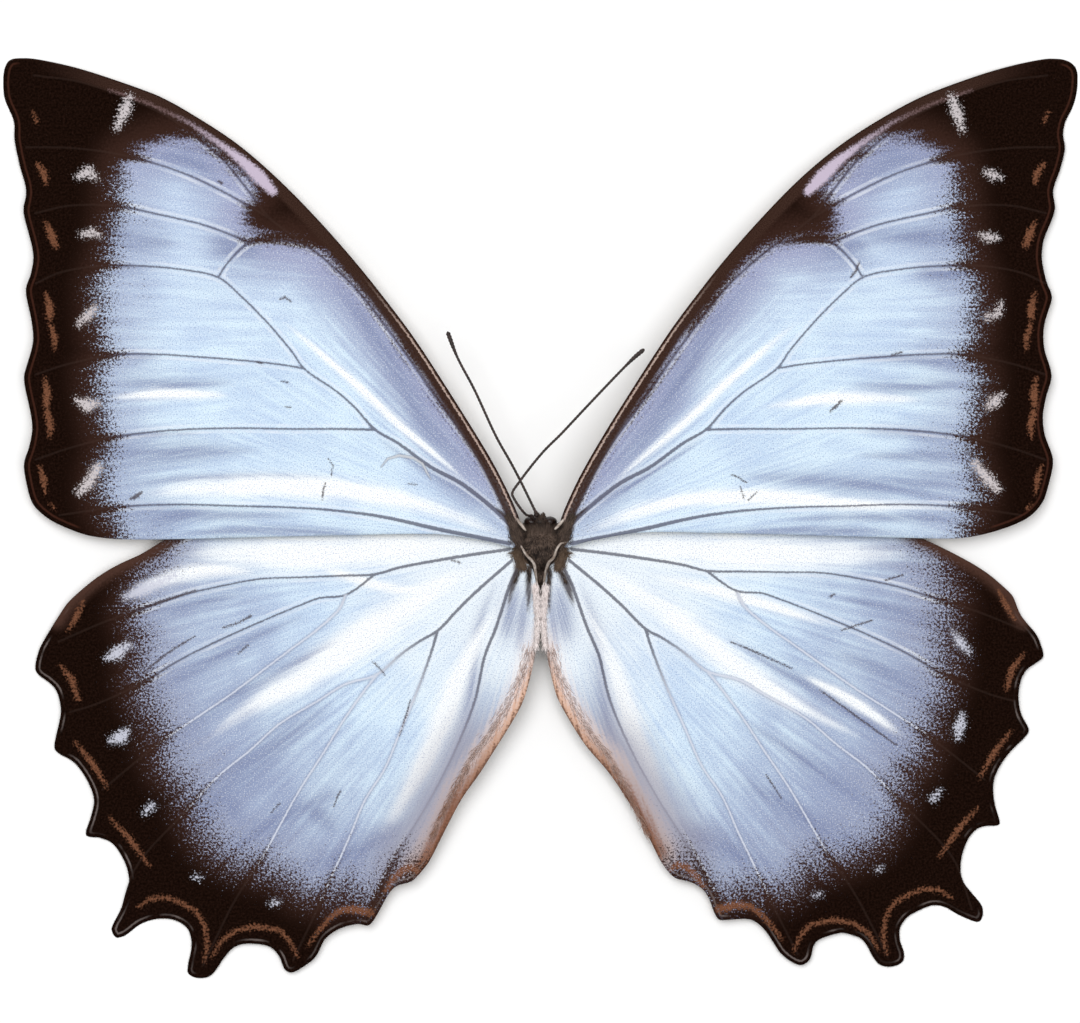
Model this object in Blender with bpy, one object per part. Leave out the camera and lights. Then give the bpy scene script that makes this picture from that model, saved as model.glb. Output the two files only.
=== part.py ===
"""A spread blue butterfly specimen with broad dark borders, lying dorsal side up.

Frame: the origin is on the resting surface under the middle of the thorax, +X runs to the
specimen's right wing tips, +Y towards the head and +Z up. Every length below is in millimetres.
"""
import math

import bmesh
import bpy
import numpy as np
from mathutils.geometry import delaunay_2d_cdt

# Driving sizes. The outlines and veins below are drawn for DRAWN_SPAN and scale with WING_SPAN.
WING_SPAN = 130.0
DRAWN_SPAN = 130.0
METRES = 0.001 * WING_SPAN / DRAWN_SPAN

# Wings: height of the underside at the root, and how far from the body it comes down to the surface
FOREWING_ROOT_HEIGHT = 6.2
FOREWING_REACH = 87.2
HINDWING_ROOT_HEIGHT = 5.0
HINDWING_REACH = 69.8
ROOT_RADIUS = 3.0

# Wing membrane: its thickness inside and at the margin, and how wide the thin margin is
MEMBRANE = 0.24
MARGIN_THICKNESS = 0.12
MARGIN_WIDTH = 1.5

# Veins stand up in low ridges, and the membrane hangs a little between them
VEIN_RIDGE = 0.12
VEIN_WIDTH = 0.35
SAG_DEPTH = 0.2
SAG_WIDTH = 2.4

# Facets: how far an outline may leave its smooth curve, and the spacing of points inside it
OUTLINE_TOLERANCE = 0.05
CURVE_STEP = 0.25
INNER_SPACING = 3.1
INNER_CLEARANCE = 1.3

# The right hindwing is set a little further forward than the left, about its own root
RIGHT_HINDWING_TURN = math.radians(-1.4)
HINDWING_ROOT = (-3.2, -0.5)

# Outlines of the wings of the left side, from the head end of the root round the tip
FOREWING_LEFT = [
    (-2.6, 3.3), (-4.8, 8.2), (-7.3, 12.6), (-9.9, 16.7), (-12.2, 20.4), (-14.5, 23.9),
    (-17.0, 27.4), (-21.8, 33.5), (-26.7, 39.1), (-31.5, 44.0), (-36.3, 48.2), (-41.2, 51.5),
    (-46.0, 54.2), (-50.9, 56.0), (-55.7, 57.6), (-60.5, 58.7), (-62.9, 58.9), (-64.1, 58.7),
    (-64.7, 58.0), (-65.0, 56.5), (-64.9, 54.4), (-64.5, 53.1), (-63.7, 51.2), (-63.6, 49.0),
    (-63.0, 46.0), (-62.2, 42.9), (-62.5, 40.3), (-61.8, 37.5), (-61.3, 34.9), (-61.6, 32.8),
    (-62.2, 30.8), (-61.7, 28.2), (-61.3, 25.0), (-61.8, 22.5), (-62.4, 20.2), (-61.9, 17.4),
    (-61.4, 14.3), (-61.8, 11.8), (-62.4, 9.7), (-62.0, 7.0), (-61.2, 4.8), (-59.3, 3.1),
    (-56.8, 1.9), (-54.3, 1.1), (-50.7, 0.7), (-44.8, 0.7), (-36.3, 0.9), (-27.9, 1.1),
    (-19.4, 1.2), (-12.2, 1.3), (-6.1, 0.4), (-3.2, -0.3), (-3.2, 0.6), (-3.0, 2.1),
]
HINDWING_LEFT = [
    (-3.2, -0.5), (-4.9, 1.3), (-8.5, 3.1), (-14.6, 4.4), (-23.0, 5.1), (-31.5, 4.8), (-38.8, 3.6),
    (-42.4, 2.3), (-45.4, 0.7), (-48.3, -1.1), (-50.9, -2.3), (-53.3, -3.7), (-55.7, -5.6),
    (-57.4, -7.3), (-58.8, -9.6), (-59.8, -11.1), (-60.7, -12.9), (-61.1, -14.9), (-60.6, -15.8),
    (-59.6, -16.5), (-58.5, -17.7), (-58.0, -20.0), (-58.4, -22.5), (-58.8, -24.3), (-58.4, -25.1),
    (-57.3, -25.7), (-56.1, -26.6), (-54.7, -28.7), (-54.0, -30.8), (-54.4, -32.9), (-55.0, -34.8),
    (-54.6, -35.3), (-53.4, -35.4), (-51.9, -36.0), (-50.9, -37.2), (-50.0, -39.1), (-49.8, -41.2),
    (-50.7, -43.9), (-51.8, -46.1), (-51.8, -46.8), (-51.3, -47.5), (-50.2, -47.2), (-48.6, -46.0),
    (-47.2, -45.4), (-45.8, -45.2), (-44.2, -45.4), (-42.7, -46.4), (-42.2, -48.4), (-42.7, -51.3),
    (-42.3, -52.1), (-41.1, -52.4), (-39.7, -51.9), (-38.1, -49.7), (-36.8, -48.5), (-34.9, -48.2),
    (-32.7, -48.6), (-31.5, -49.9), (-31.0, -51.2), (-30.1, -51.7), (-28.7, -51.0), (-27.2, -49.8),
    (-26.0, -47.6), (-24.1, -46.3), (-21.9, -45.8), (-20.9, -46.0), (-20.2, -45.4), (-19.4, -44.0),
    (-18.3, -42.1), (-17.4, -41.2), (-16.4, -40.9), (-15.4, -40.5), (-14.5, -39.5), (-13.5, -38.3),
    (-12.1, -35.6), (-9.6, -30.8), (-7.3, -27.5), (-4.9, -23.7), (-3.6, -21.6), (-2.3, -19.3),
    (-1.4, -16.6), (-0.8, -13.9), (-0.4, -11.5), (-0.3, -9.3), (-0.4, -7.3), (-0.5, -5.4),
    (-0.7, -3.7), (-1.1, -2.7), (-1.8, -2.1), (-2.6, -1.3),
]

# The wings of the right side differ a little, as a real pair does. They are drawn as seen in a
# mirror, so that both sides use one set of veins, and are flipped when they are made.
FOREWING_RIGHT = [
    (-2.5, 3.3), (-4.7, 8.2), (-7.2, 12.6), (-9.7, 16.7), (-12.1, 20.4), (-14.4, 24.0),
    (-16.9, 27.6), (-21.7, 33.8), (-26.5, 39.3), (-31.4, 44.3), (-36.2, 48.3), (-41.1, 51.5),
    (-45.9, 54.1), (-50.7, 56.0), (-55.6, 57.6), (-60.4, 58.7), (-62.6, 58.8), (-63.9, 58.5),
    (-64.7, 57.8), (-65.0, 56.5), (-64.8, 54.4), (-64.3, 52.8), (-63.5, 51.2), (-63.2, 49.6),
    (-63.4, 47.8), (-62.8, 45.3), (-62.0, 42.9), (-62.2, 40.8), (-61.8, 39.3), (-60.9, 37.1),
    (-60.6, 34.7), (-61.1, 32.0), (-61.8, 30.0), (-61.3, 28.2), (-60.8, 26.0), (-60.9, 23.6),
    (-61.6, 21.3), (-61.7, 20.0), (-61.1, 17.9), (-60.7, 15.6), (-60.9, 13.4), (-61.7, 11.2),
    (-61.9, 9.7), (-61.3, 7.0), (-60.6, 5.1), (-59.0, 3.4), (-56.5, 2.2), (-53.5, 1.3),
    (-50.1, 0.8), (-44.7, 0.9), (-36.2, 1.1), (-27.8, 1.3), (-19.3, 1.5), (-12.0, 1.5),
    (-6.0, 0.5), (-3.1, -0.3), (-3.1, 0.6), (-2.8, 2.1),
]
HINDWING_RIGHT = [
    (-3.1, -0.5), (-4.8, 1.3), (-8.4, 3.1), (-14.5, 4.4), (-22.9, 5.1), (-31.4, 4.8), (-38.6, 3.6),
    (-43.0, 2.1), (-46.1, 0.8), (-48.7, -0.4), (-51.6, -1.9), (-54.0, -3.4), (-55.4, -4.6),
    (-57.1, -6.2), (-58.1, -8.5), (-60.0, -10.9), (-60.6, -12.5), (-60.8, -13.5), (-60.0, -14.2),
    (-58.7, -15.2), (-58.0, -16.7), (-57.8, -18.7), (-58.2, -20.6), (-59.0, -22.1), (-58.8, -23.0),
    (-57.1, -24.7), (-55.7, -26.5), (-54.8, -28.6), (-54.9, -31.1), (-55.5, -33.3), (-55.3, -33.9),
    (-53.8, -34.0), (-52.6, -34.5), (-51.6, -35.8), (-50.9, -37.9), (-50.9, -40.1), (-51.8, -41.7),
    (-53.3, -43.5), (-53.5, -44.7), (-52.9, -45.6), (-50.7, -44.8), (-48.9, -43.8), (-47.4, -43.6),
    (-45.8, -44.2), (-44.4, -45.0), (-43.5, -46.3), (-43.5, -47.9), (-44.0, -49.5), (-43.7, -50.5),
    (-42.5, -51.0), (-41.1, -50.8), (-40.2, -49.8), (-39.4, -48.3), (-38.6, -47.5), (-37.4, -47.1),
    (-36.3, -46.9), (-34.9, -47.3), (-33.7, -47.7), (-33.0, -48.5), (-32.7, -49.8), (-32.2, -50.5),
    (-31.4, -50.8), (-30.2, -50.3), (-29.0, -49.3), (-28.1, -47.9), (-26.9, -46.3), (-25.5, -45.3),
    (-23.8, -45.2), (-22.2, -45.3), (-21.3, -45.0), (-20.3, -42.6), (-19.5, -41.5), (-18.1, -40.7),
    (-16.8, -40.4), (-16.0, -40.0), (-14.6, -38.3), (-12.7, -34.5), (-10.7, -31.1), (-8.2, -27.4),
    (-5.7, -24.5), (-4.4, -22.6), (-3.3, -20.8), (-2.0, -18.3), (-1.1, -14.9), (-0.5, -11.5),
    (-0.4, -9.3), (-0.5, -7.3), (-0.5, -5.4), (-0.7, -3.7), (-1.0, -2.7), (-1.6, -2.1),
    (-2.5, -1.3),
]

# Main veins, from the root outwards
FOREWING_VEINS = [
    # radius
    [(-3.3, 2.5), (-7.6, 10.9), (-12.2, 17.3), (-17.0, 24.1), (-21.8, 30.4), (-25.5, 34.0),
     (-28.5, 36.4), (-32.5, 39.3), (-35.6, 43.2), (-38.4, 46.6), (-41.2, 49.0), (-44.8, 51.6),
     (-49.6, 53.9), (-55.7, 56.0), (-61.3, 56.8)],
    # cubitus, and the third medial vein that goes on from it
    [(-3.4, 2.1), (-4.9, 3.7), (-9.5, 7.4), (-13.2, 9.4), (-17.2, 12.3), (-19.9, 13.9),
     (-22.3, 16.5), (-24.4, 18.4), (-28.5, 21.3), (-30.1, 23.5), (-33.1, 27.0), (-36.2, 30.1),
     (-38.9, 32.3), (-43.6, 33.3), (-48.4, 33.7), (-53.3, 33.7), (-58.1, 32.9), (-61.0, 31.6)],
    # first and second cubital branches
    [(-28.5, 21.3), (-31.6, 21.8), (-36.3, 22.3), (-41.2, 22.7), (-45.9, 23.0), (-51.0, 23.0),
     (-56.9, 21.9), (-61.0, 20.6)],
    [(-19.9, 13.9), (-24.2, 14.0), (-30.1, 14.0), (-36.3, 14.1), (-41.7, 14.0), (-46.3, 13.7),
     (-51.7, 13.0), (-56.9, 11.7), (-61.0, 10.3)],
    # cross vein at the end of the cell
    [(-38.9, 32.3), (-37.8, 34.0), (-35.1, 36.5), (-32.3, 36.9), (-28.5, 36.4)],
    # second and first medial veins
    [(-35.1, 36.5), (-38.8, 38.0), (-41.2, 38.8), (-46.0, 39.9), (-50.9, 40.9), (-56.9, 41.0),
     (-61.1, 40.1)],
    [(-32.5, 39.3), (-35.5, 41.1), (-38.8, 42.9), (-43.6, 45.1), (-50.9, 47.2), (-56.9, 48.0),
     (-62.2, 48.1)],
    # anal vein
    [(-3.7, 0.2), (-12.2, 1.9), (-18.4, 3.3), (-22.3, 3.9), (-26.2, 4.3), (-31.6, 4.6),
     (-36.3, 4.7), (-43.6, 4.9), (-50.9, 4.6), (-58.1, 3.6)],
]
HINDWING_VEINS = [
    # costal vein, under the forewing
    [(-4.3, 0.5), (-12.2, 2.5), (-21.8, 3.5), (-31.5, 3.4), (-39.4, 2.2), (-46.0, -0.5),
     (-52.1, -3.7), (-55.9, -7.1)],
    # radial sector
    [(-3.7, -0.5), (-7.3, -1.0), (-12.2, -1.8), (-17.0, -2.7), (-19.9, -3.5), (-24.2, -3.7),
     (-29.1, -3.9), (-33.9, -4.1), (-38.8, -5.0), (-43.0, -6.0), (-47.2, -7.4), (-52.7, -9.3),
     (-58.3, -11.7)],
    # first and second medial veins
    [(-19.9, -3.5), (-23.5, -6.0), (-26.7, -6.4), (-29.1, -7.3), (-33.9, -9.3), (-38.8, -11.5),
     (-43.6, -13.9), (-48.4, -16.8), (-53.9, -19.3), (-56.9, -20.2)],
    [(-23.5, -6.0), (-24.2, -7.6), (-26.7, -10.0), (-30.3, -12.7), (-33.9, -15.4),
     (-37.5, -18.1), (-41.2, -20.6), (-46.0, -23.9), (-53.0, -29.6)],
    # cubitus, and the third medial vein that goes on from it
    [(-3.4, -1.8), (-7.3, -5.2), (-9.7, -7.5), (-12.4, -10.3), (-14.6, -11.6), (-17.0, -13.3),
     (-19.7, -15.6), (-23.6, -16.8), (-26.7, -18.7), (-31.5, -21.6), (-35.1, -24.8),
     (-38.8, -27.8), (-43.0, -32.3), (-49.0, -39.1), (-51.1, -45.3)],
    # first and second cubital branches, which end in the two tails
    [(-19.7, -15.6), (-21.2, -17.5), (-23.6, -20.9), (-26.4, -25.4), (-29.1, -29.6),
     (-31.5, -33.9), (-33.7, -37.9), (-36.9, -42.9), (-40.8, -50.8)],
    [(-12.4, -10.3), (-13.1, -12.7), (-14.6, -16.9), (-17.0, -22.7), (-18.8, -27.0),
     (-21.2, -30.8), (-23.0, -35.1), (-24.9, -39.3), (-27.3, -44.7), (-29.9, -50.2)],
    # anal vein
    [(-2.8, -2.8), (-3.7, -4.8), (-4.5, -7.3), (-5.5, -10.3), (-6.7, -13.3), (-7.9, -18.7),
     (-10.3, -24.8), (-13.4, -30.8), (-17.0, -36.9), (-20.4, -44.1)],
]

# Thorax: sections from the front to the rear taper, as (y, half width, underside, top)
THORAX_SECTIONS = [
    (1.65, 1.1, 2.5, 5.2), (1.45, 1.75, 1.5, 5.9), (0.9, 2.35, 0.5, 6.6), (0.0, 2.7, -0.3, 7.0),
    (-0.8, 2.65, -0.3, 6.9), (-1.5, 2.35, -0.3, 6.4), (-2.2, 1.85, -0.3, 5.5),
    (-2.9, 1.55, -0.1, 4.3), (-4.0, 1.35, 0.6, 4.0), (-5.5, 1.05, 1.4, 3.6), (-6.6, 0.6, 2.1, 3.2),
    (-7.0, 0.25, 2.5, 2.9),
]
THORAX_SIDES = 20
THORAX_SQUARENESS = 2.3

# Head: ellipsoids for the capsule, the two eyes and the two short palps, as (centre, radii)
HEAD_CENTRE = (0.0, 2.75, 3.9)
HEAD_FORMS = [
    ((0.0, 2.75, 3.9), (1.3, 0.8, 1.25)),
    ((-1.15, 2.8, 4.0), (0.85, 0.68, 1.05)),
    ((1.15, 2.8, 4.0), (0.85, 0.68, 1.05)),
    ((-0.3, 3.1, 3.6), (0.3, 0.75, 0.5)),
    ((0.3, 3.1, 3.6), (0.3, 0.75, 0.5)),
]
HEAD_RINGS = 13
HEAD_SIDES = 20

# Antennae: the left one is bent sharply at its base and crosses over the right one
ANTENNA_LEFT = [
    (-1.0, 3.5, 5.4), (-1.7, 3.65, 6.2), (-2.5, 4.55, 6.7), (-3.15, 5.55, 6.8), (-3.4, 6.2, 6.8),
    (-2.4, 7.8, 6.6), (0.3, 11.2, 6.4), (2.5, 13.4, 6.3), (5.5, 16.6, 6.3), (11.1, 22.4, 6.5),
    (12.5, 23.6, 6.5),
]
ANTENNA_RIGHT = [
    (-0.5, 3.8, 5.2), (-2.4, 7.7, 5.5), (-3.5, 9.8, 5.7), (-5.3, 13.0, 6.0), (-8.0, 18.8, 6.3),
    (-10.0, 22.6, 6.5), (-11.2, 25.7, 6.6),
]
ANTENNA_RADIUS = 0.17
CLUB_RADIUS = 0.27
CLUB_LENGTH = 3.5
ANTENNA_STEP = 1.3
ANTENNA_SIDES = 6

# Walking legs of the right side, folded against the thorax: body, knee, shin and foot
LEG_MIDDLE = [
    (2.75, 0.5, 1.0), (3.9, 1.9, 1.7), (4.35, 2.0, 1.7), (3.9, 0.2, 1.3), (3.4, -1.8, 0.8),
    (3.0, -3.6, 0.5), (2.8, -4.6, 0.45),
]
LEG_HIND = [
    (2.15, -2.6, 1.5), (3.2, -0.9, 2.9), (3.5, -1.2, 2.8), (3.1, -2.9, 2.2), (2.6, -5.0, 1.3),
    (2.1, -7.2, 0.8), (1.9, -8.2, 0.65),
]
LEG_RADII = (0.24, 0.2, 0.2, 0.16, 0.13, 0.1, 0.08)
LEG_SIDES = 6

# Colour, roughness and metallic value of each material
WING_BLUE = ((0.55, 0.68, 0.86), 0.45, 0.1)
BODY_BROWN = ((0.045, 0.028, 0.02), 0.9, 0.0)
HEAD_BROWN = ((0.03, 0.02, 0.016), 0.6, 0.0)
LEG_BROWN = ((0.05, 0.032, 0.022), 0.6, 0.0)


def remove_objects():
    for thing in list(bpy.data.objects):
        bpy.data.objects.remove(thing, do_unlink=True)


def principled(name, finish):
    colour, roughness, metallic = finish
    material = bpy.data.materials.new(name)
    material.use_nodes = True
    shader = material.node_tree.nodes["Principled BSDF"]
    shader.inputs["Base Color"].default_value = (*colour, 1.0)
    shader.inputs["Roughness"].default_value = roughness
    shader.inputs["Metallic"].default_value = metallic
    return material


def add_object(name, points, faces, material, sharp_degrees=40.0):
    """Makes one smooth-shaded mesh object from points in millimetres."""
    mesh = bpy.data.meshes.new(name)
    mesh.from_pydata([tuple(value * METRES for value in point) for point in points], [], faces)
    mesh.shade_smooth()
    mesh.set_sharp_from_angle(angle=math.radians(sharp_degrees))
    mesh.materials.append(material)
    thing = bpy.data.objects.new(name, mesh)
    bpy.context.scene.collection.objects.link(thing)
    return thing


def smooth_curve(points, step, closed):
    """A Catmull-Rom curve through the points, with about one sample every step."""
    knots = np.array(points, dtype=float)
    count = len(knots)
    samples = []
    for index in range(count if closed else count - 1):
        if closed:
            before, start, end, after = (knots[(index + k) % count] for k in (-1, 0, 1, 2))
        else:
            start, end = knots[index], knots[index + 1]
            before = knots[index - 1] if index > 0 else 2 * start - end
            after = knots[index + 2] if index + 2 < count else 2 * end - start
        pieces = max(1, round(np.linalg.norm(end - start) / step))
        for t in np.arange(pieces) / pieces:
            samples.append(0.5 * (2 * start + (end - before) * t
                                  + (2 * before - 5 * start + 4 * end - after) * t ** 2
                                  + (3 * start - before - 3 * end + after) * t ** 3))
    if not closed:
        samples.append(knots[-1])
    return np.array(samples)


def distance_to_line(points, start, end):
    """The distance of each point from the segment between start and end."""
    along = end - start
    share = np.clip((points - start) @ along / max(along @ along, 1e-12), 0.0, 1.0)
    return np.linalg.norm(points - start - share[:, None] * along, axis=1)


def distance_to_path(points, path):
    """The distance of each point from an open run of segments."""
    nearest = np.full(len(points), np.inf)
    for start, end in zip(path[:-1], path[1:]):
        nearest = np.minimum(nearest, distance_to_line(points, start, end))
    return nearest


def simplified(path, tolerance):
    """Leaves out the points of an open path that its straight runs pass within tolerance."""
    if len(path) < 3:
        return path
    gaps = distance_to_line(path[1:-1], path[0], path[-1])
    worst = int(np.argmax(gaps))
    if gaps[worst] <= tolerance:
        return path[[0, -1]]
    head = simplified(path[:worst + 2], tolerance)
    tail = simplified(path[worst + 1:], tolerance)
    return np.vstack([head[:-1], tail])


def coarse_outline(points):
    """A closed outline with only the corners that its smooth curve needs."""
    curve = smooth_curve(points, CURVE_STEP, closed=True)
    half = len(curve) // 2
    first = simplified(curve[:half + 1], OUTLINE_TOLERANCE)
    second = simplified(np.vstack([curve[half:], curve[:1]]), OUTLINE_TOLERANCE)
    return np.vstack([first[:-1], second[:-1]])


def inside(points, outline):
    """Which points lie inside a closed outline."""
    result = np.zeros(len(points), dtype=bool)
    for start, end in zip(outline, np.roll(outline, -1, axis=0)):
        crosses = (start[1] > points[:, 1]) != (end[1] > points[:, 1])
        rise = end[1] - start[1] if end[1] != start[1] else 1e-12
        at_x = start[0] + (points[:, 1] - start[1]) * (end[0] - start[0]) / rise
        result ^= crosses & (points[:, 0] < at_x)
    return result


def distance_to_veins(points, veins):
    return np.min([distance_to_path(points, vein) for vein in veins], axis=0)


def inner_points(outline, veins):
    """A staggered grid inside the outline, clear of its edge and of the veins."""
    low, high = outline.min(axis=0), outline.max(axis=0)
    row_height = INNER_SPACING * math.sqrt(3.0) / 2.0
    grid = []
    for row, y in enumerate(np.arange(low[1], high[1], row_height)):
        shift = 0.5 * INNER_SPACING * (row % 2)
        grid += [(x + shift, y) for x in np.arange(low[0], high[0], INNER_SPACING)]
    grid = np.array(grid)
    grid = grid[inside(grid, outline)]
    edge = np.vstack([outline, outline[:1]])
    clear = distance_to_path(grid, edge) > INNER_CLEARANCE
    clear &= distance_to_veins(grid, veins) > INNER_CLEARANCE
    return grid[clear]


def triangulated(outline, veins):
    """Triangles over the outline whose edges follow the veins: flat points and triangles."""
    points = [tuple(point) for point in outline]
    count = len(points)
    edges = [(index, (index + 1) % count) for index in range(count)]
    for vein in veins:
        first = len(points)
        points += [tuple(point) for point in vein]
        edges += [(index, index + 1) for index in range(first, len(points) - 1)]
    points += [tuple(point) for point in inner_points(outline, veins)]
    found = delaunay_2d_cdt(points, edges, [], 1, 1e-4)
    return np.array([tuple(point) for point in found[0]]), [tuple(face) for face in found[2]]


def underside_height(flat, veins, root_height, reach):
    """The wing droops evenly from its root, sags between its veins and ends on the surface."""
    away = np.linalg.norm(flat, axis=1)
    droop = root_height * (1.0 - (away - ROOT_RADIUS) / (reach - ROOT_RADIUS))
    sag = SAG_DEPTH * (1.0 - np.exp(-(distance_to_veins(flat, veins) / SAG_WIDTH) ** 2))
    return np.maximum(droop - sag, 0.0)


def boundary_edges(faces):
    """The directed edges that only one triangle has."""
    edges = {(a, b) for face in faces for a, b in zip(face, face[1:] + face[:1])}
    return [edge for edge in sorted(edges) if (edge[1], edge[0]) not in edges]


def add_wing(name, drawn_outline, drawn_veins, root_height, reach, material, mirrored=False):
    """Makes one wing: a thin closed sheet with its veins raised on the upper side."""
    outline = coarse_outline(drawn_outline)
    veins = [np.array(vein) for vein in drawn_veins]
    flat, faces = triangulated(outline, veins)
    under = underside_height(flat, veins, root_height, reach)
    to_margin = distance_to_path(flat, np.vstack([outline, outline[:1]]))
    inward = np.clip(to_margin / MARGIN_WIDTH, 0.0, 1.0)
    thickness = MARGIN_THICKNESS + (MEMBRANE - MARGIN_THICKNESS) * inward
    ridge = VEIN_RIDGE * np.exp(-(distance_to_veins(flat, veins) / VEIN_WIDTH) ** 2)
    side = -1.0 if mirrored else 1.0
    lower = [(side * x, y, z) for (x, y), z in zip(flat, under)]
    upper = [(side * x, y, z) for (x, y), z in zip(flat, under + thickness + ridge)]
    shift = len(flat)
    closed = [tuple(index + shift for index in face) for face in faces]
    closed += [tuple(reversed(face)) for face in faces]
    closed += [(a, b, b + shift, a + shift) for a, b in boundary_edges(faces)]
    if mirrored:
        closed = [tuple(reversed(face)) for face in closed]
    return add_object(name, lower + upper, closed, material)


def turned(veins, root, angle):
    """The veins turned about the wing's root."""
    cosine, sine = math.cos(angle), math.sin(angle)
    return [[(root[0] + (x - root[0]) * cosine - (y - root[1]) * sine,
              root[1] + (x - root[0]) * sine + (y - root[1]) * cosine) for x, y in vein]
            for vein in veins]


def add_wings():
    blue = principled("wing_scales", WING_BLUE)
    fore = (FOREWING_VEINS, FOREWING_ROOT_HEIGHT, FOREWING_REACH, blue)
    add_wing("forewing_left", FOREWING_LEFT, *fore)
    add_wing("forewing_right", FOREWING_RIGHT, *fore, mirrored=True)
    hind = (HINDWING_ROOT_HEIGHT, HINDWING_REACH, blue)
    add_wing("hindwing_left", HINDWING_LEFT, HINDWING_VEINS, *hind)
    right_veins = turned(HINDWING_VEINS, HINDWING_ROOT, RIGHT_HINDWING_TURN)
    add_wing("hindwing_right", HINDWING_RIGHT, right_veins, *hind, mirrored=True)


def rings_to_faces(rings, sides):
    """Quads between rings of points, closed by one flat face at each end."""
    faces = [tuple(reversed(range(sides)))]
    for ring in range(rings - 1):
        for side in range(sides):
            a, b = ring * sides + side, ring * sides + (side + 1) % sides
            faces.append((a, b, b + sides, a + sides))
    faces.append(tuple(range((rings - 1) * sides, rings * sides)))
    return faces


def super_power(value, exponent):
    return math.copysign(abs(value) ** exponent, value)


def thorax_ring(section):
    """One squarish oval of points across the thorax."""
    y, half_width, underside, top = section
    middle, half_height = (top + underside) / 2.0, (top - underside) / 2.0
    ring = []
    for side in range(THORAX_SIDES):
        angle = 2.0 * math.pi * side / THORAX_SIDES
        x = half_width * super_power(math.cos(angle), 2.0 / THORAX_SQUARENESS)
        z = middle + half_height * super_power(math.sin(angle), 2.0 / THORAX_SQUARENESS)
        ring.append((x, y, z))
    return ring


def add_thorax():
    """The thorax, with its belly cut to one flat face that rests on the surface."""
    points = [point for section in THORAX_SECTIONS for point in thorax_ring(section)]
    faces = rings_to_faces(len(THORAX_SECTIONS), THORAX_SIDES)
    brown = principled("body_hair", BODY_BROWN)
    thorax = add_object("thorax", points, faces, brown)
    shape = bmesh.new()
    shape.from_mesh(thorax.data)
    everything = shape.verts[:] + shape.edges[:] + shape.faces[:]
    bmesh.ops.bisect_plane(shape, geom=everything, plane_co=(0, 0, 0), plane_no=(0, 0, 1),
                           clear_inner=True)
    bmesh.ops.holes_fill(shape, edges=[edge for edge in shape.edges if edge.is_boundary])
    bmesh.ops.recalc_face_normals(shape, faces=shape.faces)
    shape.to_mesh(thorax.data)
    shape.free()


def far_crossing(origin, direction, centre, radii):
    """How far along a ray it leaves an ellipsoid, or zero where it misses."""
    start = (origin - centre) / radii
    heading = direction / radii
    a, b, c = heading @ heading, start @ heading, start @ start - 1.0
    inside_root = b * b - a * c
    return (math.sqrt(inside_root) - b) / a if inside_root > 0.0 else 0.0


def head_point(direction):
    """The point of the joined head forms furthest out in one direction."""
    origin = np.array(HEAD_CENTRE)
    reaches = [far_crossing(origin, direction, np.array(centre), np.array(radii))
               for centre, radii in HEAD_FORMS]
    return tuple(origin + max(reaches) * direction)


def add_head():
    """The head: rings of points round the vertical axis of its capsule."""
    points = []
    for ring in range(HEAD_RINGS):
        tilt = math.pi * (ring + 0.5) / HEAD_RINGS
        for side in range(HEAD_SIDES):
            turn = 2.0 * math.pi * side / HEAD_SIDES
            direction = np.array([math.sin(tilt) * math.cos(turn),
                                  math.sin(tilt) * math.sin(turn), -math.cos(tilt)])
            points.append(head_point(direction))
    faces = rings_to_faces(HEAD_RINGS, HEAD_SIDES)
    add_object("head", points, faces, principled("head", HEAD_BROWN))


def tube(path, radii, sides):
    """Points and faces of a closed tube along a path, with a radius for each point."""
    path = np.asarray(path, dtype=float)
    points = []
    for index, (centre, radius) in enumerate(zip(path, radii)):
        heading = path[min(index + 1, len(path) - 1)] - path[max(index - 1, 0)]
        heading = heading / np.linalg.norm(heading)
        across = np.cross(heading, (0.0, 0.0, 1.0))
        across = across / np.linalg.norm(across)
        up = np.cross(across, heading)
        for side in range(sides):
            angle = 2.0 * math.pi * side / sides
            points.append(tuple(centre + radius * (math.cos(angle) * across + math.sin(angle) * up)))
    faces = [tuple(reversed(face)) for face in rings_to_faces(len(path), sides)]
    return points, faces


def add_antenna(name, route, material):
    """A thin shaft that swells into a slim club at its tip."""
    path = smooth_curve(route, ANTENNA_STEP, closed=False)
    steps = np.linalg.norm(np.diff(path, axis=0), axis=1)
    to_tip = np.append(np.cumsum(steps[::-1])[::-1], 0.0)
    swell = np.clip(1.0 - to_tip / CLUB_LENGTH, 0.0, 1.0)
    swell = np.sin(np.minimum(swell * 1.3, 1.0) * math.pi / 2.0) * (to_tip > 0.0)
    radii = ANTENNA_RADIUS + (CLUB_RADIUS - ANTENNA_RADIUS) * swell
    points, faces = tube(path, radii, ANTENNA_SIDES)
    add_object(name, points, faces, material)


def add_leg(name, route, side, material):
    """One folded walking leg, thinner towards the foot."""
    path = [(side * x, y, z) for x, y, z in route]
    points, faces = tube(path, LEG_RADII, LEG_SIDES)
    add_object(name, points, faces, material)


def add_limbs():
    antenna_brown = principled("antenna", HEAD_BROWN)
    add_antenna("antenna_left", ANTENNA_LEFT, antenna_brown)
    add_antenna("antenna_right", ANTENNA_RIGHT, antenna_brown)
    leg_brown = principled("leg", LEG_BROWN)
    for side_name, side in (("left", -1.0), ("right", 1.0)):
        add_leg(f"leg_middle_{side_name}", LEG_MIDDLE, side, leg_brown)
        add_leg(f"leg_hind_{side_name}", LEG_HIND, side, leg_brown)


def main():
    remove_objects()
    add_wings()
    add_thorax()
    add_head()
    add_limbs()


main()
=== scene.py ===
import math

import bpy
import numpy as np
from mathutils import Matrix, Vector
from mathutils.bvhtree import BVHTree
from mathutils.geometry import delaunay_2d_cdt


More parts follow.
